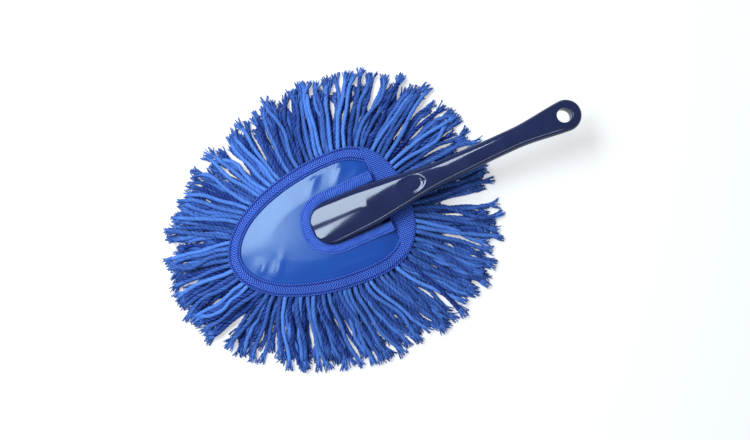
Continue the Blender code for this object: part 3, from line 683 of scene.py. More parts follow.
@dataclass(frozen=True)
class HeadPlan:
    """The sewn head's outline and heights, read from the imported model."""

    outline: Egg
    cloth_z: float
    header_z: float
    lining_z: float
    cover_z: float
    cover_top_z: float
    binding_z: float
    binding_top_z: float
    tape_z: float
    tape_top_z: float
    tongue_z: float
    mouth_x: float
    slot_apex_x: float
    slot_half: float
    binding_width: float = 0.0115
    tape_width: float = 0.0088
    slot_round: float = 0.022
    edge_lift: float = 0.0032
    lift_power: float = 1.3
    mouth_ease: tuple[float, float] = (0.022, 0.004)

    @classmethod
    def read(cls) -> "HeadPlan":
        """Takes the outline from the binding's box and the heights from the layers'."""
        low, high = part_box("perimeter_binding")
        cover_low, cover_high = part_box("cover_sheet")
        tape_low, tape_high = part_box("opening_binding")
        length, widest_share = high.x - low.x, 0.675
        outline = Egg(
            low.x + length * widest_share, length * widest_share,
            length * (1 - widest_share), high.y, 2.0, 2.5,
        )
        return cls(
            outline=outline,
            cloth_z=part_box("base_cloth")[0].z,
            header_z=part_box("fringe_lower_row")[1].z - HEADER_DEPTH,
            lining_z=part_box("pocket_lining")[0].z,
            cover_z=cover_low.z, cover_top_z=cover_high.z,
            binding_z=low.z, binding_top_z=high.z,
            tape_z=tape_low.z, tape_top_z=tape_high.z,
            tongue_z=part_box("handle")[0].z,
            mouth_x=cover_high.x,
            slot_apex_x=tape_low.x + cls.tape_width,
            slot_half=tape_high.y - cls.tape_width,
        )

    @property
    def bend(self) -> tuple[float, float]:
        """Where the U's bend begins and ends along x."""
        return self.slot_apex_x, self.slot_apex_x + self.slot_round

    def padded_lift(self, inset: Array, x: Array) -> Array:
        """How much the padding raises what lies this far in, less near the mouth."""
        share = np.clip(np.asarray(inset) / self.binding_width, 0.0, 1.0)
        before, past = self.mouth_ease
        near_mouth = eased(x, self.mouth_x - before, self.mouth_x + past)
        return self.edge_lift * share**self.lift_power * (1 - near_mouth)

    def front_arc(self, inset: float, count: int) -> Array:
        """The inset outline from one side of the mouth round the front to the other."""
        egg = self.outline.inset(inset)
        start = egg.rear_angle(self.mouth_x)
        angles = np.linspace(start, 2 * math.pi - start, LINE_POINTS)
        return resampled(egg.at(angles), count)

    def slot_line(self, out: float, count: int) -> Array:
        """The U of the cover's opening, drawn outwards by a length."""
        half = self.slot_half + out
        bend = Egg(self.bend[1], self.slot_round + out, half, half, 2.3, 2.3)
        curve = bend.at(np.linspace(math.pi / 2, 3 * math.pi / 2, LINE_POINTS))
        ends = np.array(((self.mouth_x, half), (self.mouth_x, -half)))
        return resampled(np.vstack((ends[:1], curve, ends[1:])), count)


def catmull(points: Array, count: int) -> Array:
    """A smooth line through points: Catmull-Rom cubics, sampled evenly."""
    last = points.shape[1] - 1
    place = np.linspace(0.0, last, count)
    base = np.minimum(place.astype(int), last - 1)
    t = (place - base)[None, :, None]
    before, after = np.maximum(base - 1, 0), np.minimum(base + 2, last)
    p0, p1 = points[:, before], points[:, base]
    p2, p3 = points[:, base + 1], points[:, after]
    bend = 2 * p0 - 5 * p1 + 4 * p2 - p3
    cubic = 3 * p1 - 3 * p2 + p3 - p0
    return 0.5 * (2 * p1 + (p2 - p0) * t + bend * t**2 + cubic * t**3)


def close_pairs(points: Array, reach: float) -> tuple[Array, Array]:
    """Pairs of points nearer than a reach, found in cells of that size."""
    cells = np.floor((points - points.min(0)) / reach).astype(np.int64) + 1
    span = cells.max(0) + 2
    key = (cells[:, 0] * span[1] + cells[:, 1]) * span[2] + cells[:, 2]
    order = np.argsort(key, kind="stable")
    ranked = key[order]
    steps = [
        (a * span[1] + b) * span[2] + c
        for a in (-1, 0, 1) for b in (-1, 0, 1) for c in (-1, 0, 1)
    ]
    firsts, seconds = [], []
    for step in steps[len(steps) // 2:]:
        start = np.searchsorted(ranked, key + step, "left")
        counts = np.searchsorted(ranked, key + step, "right") - start
        first = np.repeat(np.arange(len(points)), counts)
        offset = np.arange(counts.sum()) - np.repeat(np.cumsum(counts) - counts, counts)
        second = order[np.repeat(start, counts) + offset]
        keep = first < second if step == 0 else first != second
        firsts.append(first[keep])
        seconds.append(second[keep])
    first, second = np.concatenate(firsts), np.concatenate(seconds)
    near = np.linalg.norm(points[first] - points[second], axis=1) < reach
    return first[near], second[near]


@dataclass(frozen=True)
class Settling:
    """Lets strands sink under their weight until they lie on each other.

    Each step lowers the free points a little, pushes near points of different strands
    apart, restores each strand's spacing, and eases its bends and its lie.
    """

    thickness: float = 0.0033
    steps: int = 60
    fall: float = 0.00003
    straighten: float = 0.10
    homing: float = 0.03
    pinned: int = 4

    def settled(self, paths: Array, held: Array, floor: Array) -> Array:
        """Where the strands come to lie.

        Args:
            paths: (strands, n, 3) to start from.
            held: True for strands that don't move.
            floor: the least height of each point, (strands, n).

        Returns:
            Paths of the same shape.
        """
        points, home = paths.copy(), paths.copy()
        spacing = np.linalg.norm(np.diff(paths, axis=1), axis=2, keepdims=True)
        free = np.ones(paths.shape[:2])
        free[:, : self.pinned] = 0.0
        free[held] = 0.0
        strand = np.repeat(np.arange(len(paths)), paths.shape[1])
        loose = free[..., None]
        for step in range(self.steps):
            points[..., 2] -= self.fall * free
            if step % 3 == 0:
                first, second = close_pairs(points.reshape(-1, 3), self.thickness * 1.3)
                apart = strand[first] != strand[second]
                first, second = first[apart], second[apart]
            for _ in range(2):
                points += self._push(points, first, second, free)
                points += self._space(points, spacing) * loose
            middle = (points[:, :-2] + points[:, 2:]) / 2
            points[:, 1:-1] += self.straighten * (middle - points[:, 1:-1]) * loose[:, 1:-1]
            points[..., :2] += self.homing * (home - points)[..., :2] * loose
            points[..., 2] = np.maximum(points[..., 2], floor)
        return points

    def _push(self, points: Array, first: Array, second: Array, free: Array) -> Array:
        """The moves that part points nearer than the thickness."""
        flat, weight = points.reshape(-1, 3), free.ravel()
        between = flat[first] - flat[second]
        distance = np.maximum(np.linalg.norm(between, axis=1), 1e-6)
        short = np.maximum(self.thickness - distance, 0.0)
        share = short / distance / np.maximum(weight[first] + weight[second], 1.0)
        move = between * (0.8 * share)[:, None]
        total = np.zeros_like(flat)
        for axis in range(3):
            total[:, axis] = (
                np.bincount(first, move[:, axis], len(flat))
                - np.bincount(second, move[:, axis], len(flat))
            ) * weight
        return total.reshape(points.shape)

    def _space(self, points: Array, spacing: Array) -> Array:
        """The moves that restore the spacing along each strand."""
        step = np.diff(points, axis=1)
        length = np.linalg.norm(step, axis=2, keepdims=True)
        move = step * (0.4 * (1 - spacing / np.maximum(length, 1e-6)))
        total = np.zeros_like(points)
        total[:, :-1] += move
        total[:, 1:] -= move
        return total


@dataclass(frozen=True)
class Row:
    """One sewn row of yarn: its node, its heights and how its strands lie."""

    node: str
    header_z: float
    pitch: float
    middle_z: float
    tip_z: float
    start_share: float
    reach_share: float
    hump: float
    clumping: float
    clump_seed: int
    # Painted shade for the whole row: 1 for the top row, less for the rows that lie under it.
    brightness: float
    seed: int


@dataclass
class Fringe:
    """The yarn round the head and under it, strand by strand."""

    plan: HeadPlan
    wide: float = 0.00198
    tall: float = 0.00178
    root_tall: float = 0.0012
    twist_pitch: float = 0.0125
    stations: int = 42
    knots: int = 26
    root_inset: float = 0.0060
    elbow: float = 0.0125
    elbow_soft: float = 0.0022
    trim_share: float = 0.15
    centre_strands: int = 61
    centre_reach: tuple[float, float, float] = (0.054, 0.026, 0.016)
    centre_spread: float = 0.020
    clump_strands: tuple[float, float] = (1.4, 4.4)
    heading: float = 0.0042
    stray_share: float = 0.13
    stray: float = 0.0090
    sway: float = 0.0034
    wander: float = 0.0034
    tip_length: float = 0.0088
    rest_share: float = 1.13
    tip_fibres: int = 12
    fibre_steps: int = 4
    fibre_floor: float = 0.00073
    fibre_radii: tuple[float, float] = (0.00062, 0.00040)
    fibre_root: float = 0.0050
    jitter: float = 0.16
    slim_tip: float = 0.40
    sweep_angles: tuple[float, ...] = (
        0, 25, 45, 70, 95, 118, 140, 165, 190, 205, 222, 245, 268, 288, 305, 322, 342,
    )
    sweep_shares: tuple[float, ...] = (
        0, 0, -1, -7, -6, -1, 5, 3, 0, -7, 3, 5, 12, 11, 3, -4, -8,
    )
    partings: tuple[tuple[float, float, float], ...] = (
        (62, 3.2, 6.0), (84, 1.2, 4.0), (12, 1.8, 4.0), (-9, 2.6, 4.5), (-17, 2.4, 4.0),
        (-27, 2.6, 4.0), (-44, 2.4, 4.0), (-58, 2.2, 4.5), (-96, 1.6, 3.5),
        (-112, 1.4, 3.0), (-138, 1.8, 3.5), (-150, 1.5, 3.0), (196, 1.6, 3.5),
        (150, 1.2, 3.0),
    )

    def rows(self) -> tuple[Row, ...]:
        """The three rows round the edge, from the lowest to the uppermost."""
        lies = {
            # The last but one number is the row's painted shade factor: the lower rows are
            # darker.
            "lower": (0.0027, 0.0004, 0, 0.25, 0.86, 0, 0.12, 18, 0.50, 31),
            "middle": (0.0044, 0.0034, 0.0010, 0.75, 0.96, 0, 0.35, 19, 0.75, 32),
            "top": (0.0048, 0.0082, 0.0034, 0.5, 1.0, 0.0020, 0.75, 17, 1.0, 33),
        }
        return tuple(
            Row(f"fringe_{name}_row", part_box(f"fringe_{name}_row")[1].z - HEADER_DEPTH, *lie)
            for name, lie in lies.items()
        )

    def tips(self) -> Egg:
        """The outline that the longest strands reach, from the top row's box."""
        low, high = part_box("fringe_top_row")
        outline = self.plan.outline
        return Egg(
            outline.widest_x, outline.widest_x - low.x, high.x - outline.widest_x,
            high.y, 1.9, 2.2,
        )

    def swept(self, angles: Array) -> Array:
        """Angles turned as the yarn is swept aside, and parted where gaps show."""
        turned = np.mod(angles, 2 * math.pi)
        sweep = np.interp(
            turned, np.radians(self.sweep_angles), np.radians(self.sweep_shares),
            period=2 * math.pi,
        )
        total = angles + sweep
        for place, strength, width in self.partings:
            off = np.mod(turned - math.radians(place) + math.pi, 2 * math.pi) - math.pi
            near = off / math.radians(width)
            total = total + math.radians(strength) * np.tanh(2 * near) * np.exp(-near**2 / 2)
        return total

    def closing(self, row: Row, places: Array, around: float, share: Array) -> Array:
        """How far each place is drawn to the middle of its clump, along its strand.

        A clump closes in a smooth step up to its own peak, then opens again by its own
        share: offset * step(share / peak) * (1 - release * step past the peak).

        Args:
            row: the row, whose seed decides where the clumps are.
            places: lengths round the root, (strands).
            around: the root's whole length.
            share: places along a strand from 0 to 1.

        Returns:
            Offsets in lengths between strands, (strands, shares).
        """
        chance = np.random.default_rng(row.clump_seed)
        ends = np.cumsum(chance.uniform(*self.clump_strands, 400) * row.pitch)
        ends = ends[ends < around - row.pitch]
        bounds = np.concatenate(([0.0], ends, [around]))
        home = np.searchsorted(bounds, np.mod(places, around), "right") - 1
        middles = (bounds[:-1] + bounds[1:]) / 2
        offset = (np.mod(places, around) - middles[home]) / row.pitch
        peak = chance.uniform(0.5, 1.1, len(middles))[home][:, None]
        release = chance.uniform(0.0, 0.6, len(middles))[home][:, None]
        step = eased(share / peak, 0.1, 1.0) * (1 - release * eased(share - peak, 0.0, 0.5))
        return row.clumping * offset[:, None] * step

    def start_paths(self, row: Row) -> Array:
        """Lines of one row before they settle, (strands, knots, 3).

        A strand leaves the edge squarely, and at its elbow turns for its swept place on
        the tips' outline: with l the way along and b = soft * log(1 + exp((l - elbow)
        / soft)), it lies at root + leave * (l - b) + ahead * b. Sideways it drifts with
        slow noise and its own heading, and closes in on the middle of its clump by its
        offset there times the room that opens between strands on the way out.
        """
        root = self.plan.outline.inset(self.root_inset)
        count = round(self.plan.outline.perimeter() / row.pitch)
        chance = np.random.default_rng(row.seed)
        around = root.perimeter()
        spacing = around / count
        jitter = chance.uniform(-self.jitter, self.jitter, count)
        places = (np.arange(count) + row.start_share + jitter) * spacing
        angles = root.angles_at(places)
        reach = row.reach_share - self.trim_share * chance.random(count) ** 1.5
        start = root.at(angles)
        end = start + (self.tips().at(self.swept(angles)) - start) * reach[:, None]
        leave = unit(start - root.inset(0.02).at(angles))
        corner = start + leave * self.elbow
        ahead = unit(end - corner)
        length = self.elbow + np.linalg.norm(end - corner, axis=1)
        share = np.linspace(0.0, 1.0, self.knots)
        way = share * length[:, None]
        soft = self.elbow_soft
        past = soft * np.log1p(np.exp((way - self.elbow) / soft))
        line = (
            start[:, None] + leave[:, None] * (way - past)[..., None]
            + ahead[:, None] * past[..., None]
        )
        far = np.linalg.norm(np.roll(end, -1, axis=0) - np.roll(end, 1, axis=0), axis=1) / 2
        room = np.maximum(far[:, None] * share + spacing * (1 - share) - self.wide * 2, 0.0)
        closing = self.closing(row, places, around, share) * room
        sway = self.sway * min(1.0, 0.3 + row.clumping)
        drift = sway * slow_noise(angles, 23, (7, 11, 17))[:, None]
        phase = chance.uniform(0, 2 * math.pi, (count, 2))
        bends = np.sin(share * 5.0 + phase[:, :1]) + 0.7 * np.sin(share * 10.0 + phase[:, 1:])
        own = self.wander * bends * chance.uniform(0.3, 1.2, (count, 1))
        astray = self.stray * (chance.random(count) < self.stray_share)
        lean = (self.heading + astray) * np.clip(chance.normal(size=count), -2, 2)
        aside = (drift + own + lean[:, None]) * share**1.2 - closing
        line = moved_aside(line, ahead, aside)
        height = row.header_z + (row.middle_z - row.header_z) * eased(share, 0.05, 0.5)
        height = height + (row.tip_z - row.middle_z) * eased(share, 0.45, 1.0)
        height = height + row.hump * np.sin(np.clip(share / 0.35, 0, 1) * math.pi)
        height = height + self.tall + 0.0012 * chance.random((count, 1)) * share
        return lifted(line, height)

    def centre_paths(self) -> Array:
        """Lines of the yarn under the head: two sets that fan out from its middle."""
        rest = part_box("fringe_centre_row")[0].z + self.root_tall * self.rest_share
        front, rear, half = self.centre_reach
        head = replace(self.plan.outline, front=front, rear=rear, half=half)
        edge = self.plan.outline.inset(-self.centre_spread)
        count = self.centre_strands
        lines = []
        for start_share, shift, seed in ((0.0, 0.0, 41), (0.5, 0.5, 42)):
            chance = np.random.default_rng(seed)
            spacing = head.perimeter() / count
            angles = head.angles_at((np.arange(count) + shift) * spacing)
            share = np.linspace(start_share, 1.0, self.knots)
            reach = (edge.at(angles) - head.at(angles)) * (1 - 0.06 * chance.random((count, 1)))
            line = head.at(angles)[:, None] + reach[:, None] * share[:, None]
            wave = 0.0008 * slow_noise(angles, seed, (9, 13))[:, None] * share
            wave = wave + 0.0004 * np.sin(share * 9 + chance.uniform(0, 6, (count, 1)))
            lines.append(lifted(moved_aside(line, unit(reach), wave), rest))
        return np.concatenate(lines)

    def frayed(self, paths: Array, seed: int) -> Surface:
        """The loose fibres at the cut end of each strand.

        A fibre starts inside the strand and leaves it along the strand's end plus
        a sideways flare that grows with the square of the way, kept off the floor.
        """
        chance = np.random.default_rng(seed)
        count, fibres, steps = len(paths), self.tip_fibres, self.fibre_steps
        end, ahead = paths[:, -1], unit(paths[:, -1] - paths[:, -4])
        side = unit(np.cross(UP, ahead))
        lift = np.cross(ahead, side)
        angle = full_turn(fibres) + chance.uniform(0, 1.2, (count, fibres))
        start = self.wide * np.sqrt(chance.uniform(0.05, 0.75, (count, fibres)))
        flare = chance.uniform(0.0, 0.46, (count, fibres)) * chance.uniform(0.3, 1.2, (count, 1))
        length = self.tip_length * chance.uniform(0.78, 1.06, (count, fibres))
        t = np.linspace(0.0, 1.0, steps)
        out = start[..., None] + (flare * length)[..., None] * t**1.3
        forth = length[..., None] * t * 1.05 - self.fibre_root
        spread = side[:, None, None] * (1.2 * out * np.cos(angle)[..., None])[..., None]
        rise = lift[:, None, None] * (0.8 * out * np.sin(angle)[..., None])[..., None]
        line = end[:, None, None] + ahead[:, None, None] * forth[..., None] + spread + rise
        curl = 0.0008 * np.sin(4 * t + chance.uniform(0, 6, (count, fibres, 1)))
        line = line + side[:, None, None] * (curl * t)[..., None]
        line[..., 2] = np.maximum(line[..., 2], self.fibre_floor)
        paths = line.reshape(-1, steps, 3)
        radius = np.linspace(*self.fibre_radii, steps)
        surface = Tubes(4).surface(paths, radius, radius, np.zeros(len(paths)))
        tone = np.repeat(chance.uniform(0.3, 1.0, count * fibres), steps * 4)
        ends = np.full(2 * count * fibres, 0.6)
        surface.marks["shade"] = np.concatenate((tone, ends))
        return surface

    def strands(self, paths: Array, seed: int, flat: bool, brightness: float) -> Surface:
        """Twisted strands with frayed ends along settled paths."""
        chance = np.random.default_rng(seed)
        count = len(paths)
        fine = catmull(paths, self.stations)
        share = np.linspace(0.0, 1.0, self.stations)
        slim = 1 - self.slim_tip * eased(share, 0.93, 1.0)
        size = chance.uniform(0.92, 1.06, (count, 1))
        wide = self.wide * size * slim
        full = self.root_tall if flat else self.tall
        tall = size * slim * (self.root_tall + (full - self.root_tall) * eased(share, 0.05, 0.3))
        tube = Tubes(9, self.twist_pitch, (1.04, 0.95, 0.95))
        surface = tube.surface(fine, wide, tall, chance.uniform(0, 6, count))
        tone = chance.random(count)
        shade = np.repeat(tone, self.stations * tube.sides)
        surface.marks["shade"] = np.concatenate((shade, np.tile(tone, 2)))
        both = Surface.joined((surface, self.frayed(fine, seed + 7)))
        # Darkens every strand of the row by its painted shade factor.
        both.marks["shade"] = both.marks["shade"] * brightness
        return both

    def build(self, finishes: Finishes) -> None:
        """Lays the rows, lets them settle together, and makes their pieces."""
        rows = self.rows()
        starts = [self.start_paths(row) for row in rows]
        centre = self.centre_paths()
        everything = np.concatenate(starts + [centre])
        held = np.arange(len(everything)) >= len(everything) - len(centre)
        floor = np.full(everything.shape[:2], self.tall * self.rest_share)
        settled = Settling().settled(everything, held, floor)
        parts = np.split(settled, np.cumsum([len(start) for start in starts]))[:-1]
        lies = [(row.node, paths, row.seed, False, row.brightness)
                for row, paths in zip(rows, parts)]
        # The centre yarn under the head is darkened to 0.8 as painted shade.
        for node, *lie in lies + [("fringe_centre_row", centre, 44, True, 0.8)]:
            name = node.replace("_row", "_yarn")
            mesh = self.strands(*lie).mesh(name, False)
            add_piece(name, finishes["yarn"], node, mesh)


@dataclass
class Filling:
    """The soft layers inside the head: canvas, foam and the pocket's lining."""

    plan: HeadPlan
    points: int = 240
    cloth_inset: float = 0.0015
    foam_inset: float = 0.0113
    raised_foot: float = 0.0150
    raised_edge: float = 0.0182
    raised_rear: float = 0.0245
    cloth: float = 0.0006
    foam_round: float = 0.0022

    def ring(self, inset: float, height: float | Array, rear: float | None = None) -> Array:
        """One ring of points at a height, drawn in from the head's outline."""
        egg = self.plan.outline.inset(inset)
        egg = egg if rear is None else replace(egg, rear=rear)
        return lifted(egg.at(self.plan.outline.even_angles(self.points)), height)

    def body(self, rings: Sequence[Array]) -> Surface:
        """A closed body of rings, its coordinates laid flat in metres."""
        grid = np.stack(rings)
        around = np.linspace(0.0, 1.0, self.points + 1)
        return Surface.loft(grid, around, np.linspace(0.0, 1.0, len(grid))).laid_flat()

    def quilted(self, height: float, drop: float) -> list[Array]:
        """Rings from the edge to near the middle, sunk a little between the seams."""
        insets = np.linspace(self.cloth_inset, self.plan.outline.half * 0.9, 12)
        wave = drop * np.sin(np.linspace(0.0, math.pi, len(insets))) ** 2
        return [self.ring(by, height - dip) for by, dip in zip(insets, wave)]

    def base_cloth(self) -> Surface:
        """The canvas that the yarn is sewn to."""
        plan = self.plan
        under = self.quilted(plan.cloth_z, 0.0)
        over = self.quilted(plan.cloth_z + self.cloth, 0.0)
        return self.body(under[::-1] + over)

    def foam_pad(self) -> Surface:
        """The pad: a crowned slab, rounded where it meets the canvas and the lining.

        Its side is a quarter turn of a superellipse at the foot and at the shoulder.
        """
        plan = self.plan
        low, high = plan.header_z, plan.lining_z - LAYER_GAP
        turn = np.linspace(0.0, math.pi / 2, 7)
        soft = self.foam_round
        rings = [
            self.ring(self.foam_inset + soft * (1 - math.sin(t)), low + soft * (1 - math.cos(t)))
            for t in turn
        ]
        rings += [
            self.ring(self.foam_inset + soft * (1 - math.cos(t)), high - soft * (1 - math.sin(t)))
            for t in turn
        ]
        rings += self.raised(high, plan.tongue_z - 2 * LAYER_GAP - self.cloth)
        return self.body(rings)

    def raised(self, shoulder: float, top: float) -> list[Array]:
        """Rings that climb from the shoulder to the raised middle in a smooth step."""
        share = np.linspace(0.0, 1.0, 9)
        foot_rear = self.raised_rear + 0.003
        return [
            self.ring(
                self.raised_foot + (self.raised_edge - self.raised_foot) * s,
                shoulder + (top - shoulder) * float(eased(s, 0.0, 1.0)),
                foot_rear + (self.raised_rear - foot_rear) * s,
            )
            for s in share
        ] + [self.ring(self.raised_edge + by, top, self.raised_rear - by) for by in (0.008, 0.02)]

    def pocket_lining(self) -> Surface:
        """The cloth over the foam, the floor of the pocket."""
        plan = self.plan
        over_top = plan.tongue_z - LAYER_GAP
        sides = []
        for drop in (self.cloth, 0.0):
            low = plan.lining_z + self.cloth - drop
            rings = [self.ring(by, low) for by in (self.cloth_inset, 0.006, 0.0105, 0.0135)]
            sides.append(rings + self.raised(low, over_top - drop))
        return self.body(sides[0][::-1] + sides[1])

    def build(self, finishes: Finishes) -> None:
        """Makes the three layers."""
        outline = self.plan.outline
        area = outline.inset(self.cloth_inset).area()
        mesh = self.base_cloth().mesh("base_canvas", True)
        canvas = add_piece("base_canvas", finishes["canvas"], "base_cloth", mesh)
        mesh = self.foam_pad().mesh("foam_filling", True)
        add_piece("foam_filling", finishes["foam"], "foam_pad", mesh)
        mesh = self.pocket_lining().mesh("pocket_floor", True)
        lining = add_piece("pocket_floor", finishes["lining"], "pocket_lining", mesh)


@dataclass(frozen=True)
class Fold:
    """A soft fold in a sheet: where it is, its heading, and its size."""

    x: float
    y: float
    heading: float
    length: float
    width: float
    height: float

    def rise(self, flat: Array) -> Array:
        """Height over points (..., 2): height * exp(-(along/length)^2 - (across/width)^2)."""
        turn = math.radians(self.heading)
        off = flat - np.array((self.x, self.y))
        along = off[..., 0] * math.cos(turn) + off[..., 1] * math.sin(turn)
        across = off[..., 1] * math.cos(turn) - off[..., 0] * math.sin(turn)
        return self.height * np.exp(-((along / self.length) ** 2) - (across / self.width) ** 2)


@dataclass
class Cover:
    """The vinyl cover with its U-shaped opening and the woven strip behind it."""

    plan: HeadPlan
    columns: int = 320
    edge_rows: int = 9
    field_rows: int = 48
    edge_inset: float = 0.0010
    rim_inset: float = 0.0148
    thickness: float = 0.0006
    rise_run: float = 0.0300
    rise_power: float = 1.7
    band_points: int = 160
    band_rise: float = 0.0023
    band_rib_height: float = 0.00012
    band_rib_pitch: float = 0.0032
    folds: tuple[Fold, ...] = (
        Fold(-0.043, -0.017, 52, 0.010, 0.0034, 0.00042),
        Fold(-0.057, -0.013, 40, 0.008, 0.0030, 0.0003),
        Fold(0.012, 0.038, 47, 0.010, 0.0040, 0.0006),
        Fold(0.036, 0.037, 47, 0.010, 0.0040, 0.0007),
        Fold(0.054, 0.035, 47, 0.010, 0.0040, 0.0007),
        Fold(0.020, -0.040, -5, 0.020, 0.0030, 0.0005),
    )

    def sheet(self) -> Surface:
        """Rows from the edge under the binding to the U, and up the padding.

        The height climbs from the binding by 1 - (1 - d/run)^p, d being the way in,
        and the folds are added where the sheet is free.
        """
        plan = self.plan
        insets = np.linspace(self.edge_inset, self.rim_inset, self.edge_rows)
        rows = [plan.front_arc(by, self.columns) for by in insets]
        rim, slot = rows[-1], plan.slot_line(0.0, self.columns)
        shares = np.linspace(0.0, 1.0, self.field_rows)[1:]
        flat = np.stack(rows + [rim + (slot - rim) * share for share in shares])
        span = np.linalg.norm(slot - rim, axis=1)
        inner = self.rim_inset - plan.binding_width
        way = np.concatenate((
            np.broadcast_to((insets - plan.binding_width)[:, None], (len(insets), self.columns)),
            inner + shares[:, None] * span,
        ))
        inset = np.minimum(way + plan.binding_width, plan.binding_width)
        base = plan.cover_z + self.thickness + plan.padded_lift(inset, flat[..., 0])
        rise = 1 - (1 - np.clip(way / self.rise_run, 0.0, 1.0)) ** self.rise_power
        height = base + (plan.cover_top_z - base) * rise
        free = eased(way, 0.0, 0.006) * (1 - eased(way, span - 0.010, span - 0.004))
        height += sum(fold.rise(flat) for fold in self.folds) * free
        points = lifted(flat, height)
        across = np.linspace(0.0, 1.0, self.columns)
        surface = Surface.grid(points, across, np.linspace(0.0, 1.0, len(points)), False, False)
        return surface.laid_flat()

    def band_arc(self) -> Array:
        """The rear edge's arc, from one side of the mouth to the other."""
        outline = self.plan.outline.inset(self.edge_inset)
        turn = outline.rear_angle(self.plan.mouth_x + LAYER_GAP)
        return outline.at(np.linspace(-turn, turn, 400))

    def rear_band(self) -> Surface:
        """The strip from the mouth to the rear edge, a closed body of shrunk rings.

        Each ring is the strip's outline drawn towards its middle by a share. The upper
        face has lengthwise ribs, a sine of x.
        """
        arc = self.band_arc()
        ring = resampled(np.vstack((arc, arc[:1])), self.band_points + 1)[:-1]
        middle = ring.mean(axis=0)
        shares = np.linspace(1.0, 0.04, 20)
        flat = middle + (ring - middle) * shares[:, None, None]
        ribs = self.band_rib_height * np.sin(flat[..., 0] * 2 * math.pi / self.band_rib_pitch)
        over = self.plan.cover_z + self.band_rise + ribs
        body = np.concatenate((lifted(flat[::-1], self.plan.cover_z), lifted(flat, over)))
        around = np.linspace(0.0, 1.0, self.band_points + 1)
        return Surface.loft(body, around, np.linspace(0.0, 1.0, len(body))).laid_flat()

    def build(self, finishes: Finishes) -> None:
        """Makes the cover and the strip behind its mouth."""
        plan = self.plan
        mesh = self.sheet().mesh("vinyl_cover", False)
        sheet = add_piece("vinyl_cover", finishes["vinyl"], "cover_sheet", mesh)
        wall = sheet.modifiers.new("thickness", "SOLIDIFY")
        wall.thickness, wall.offset = self.thickness, -1.0
        edge = np.vstack((
            plan.front_arc(self.edge_inset, 400), plan.slot_line(0.0, 400)[::-1]
        ))
        mesh = self.rear_band().mesh("woven_strip", True)
        band = add_piece("woven_strip", finishes["strip"], "rear_band", mesh)
        arc = self.band_arc()


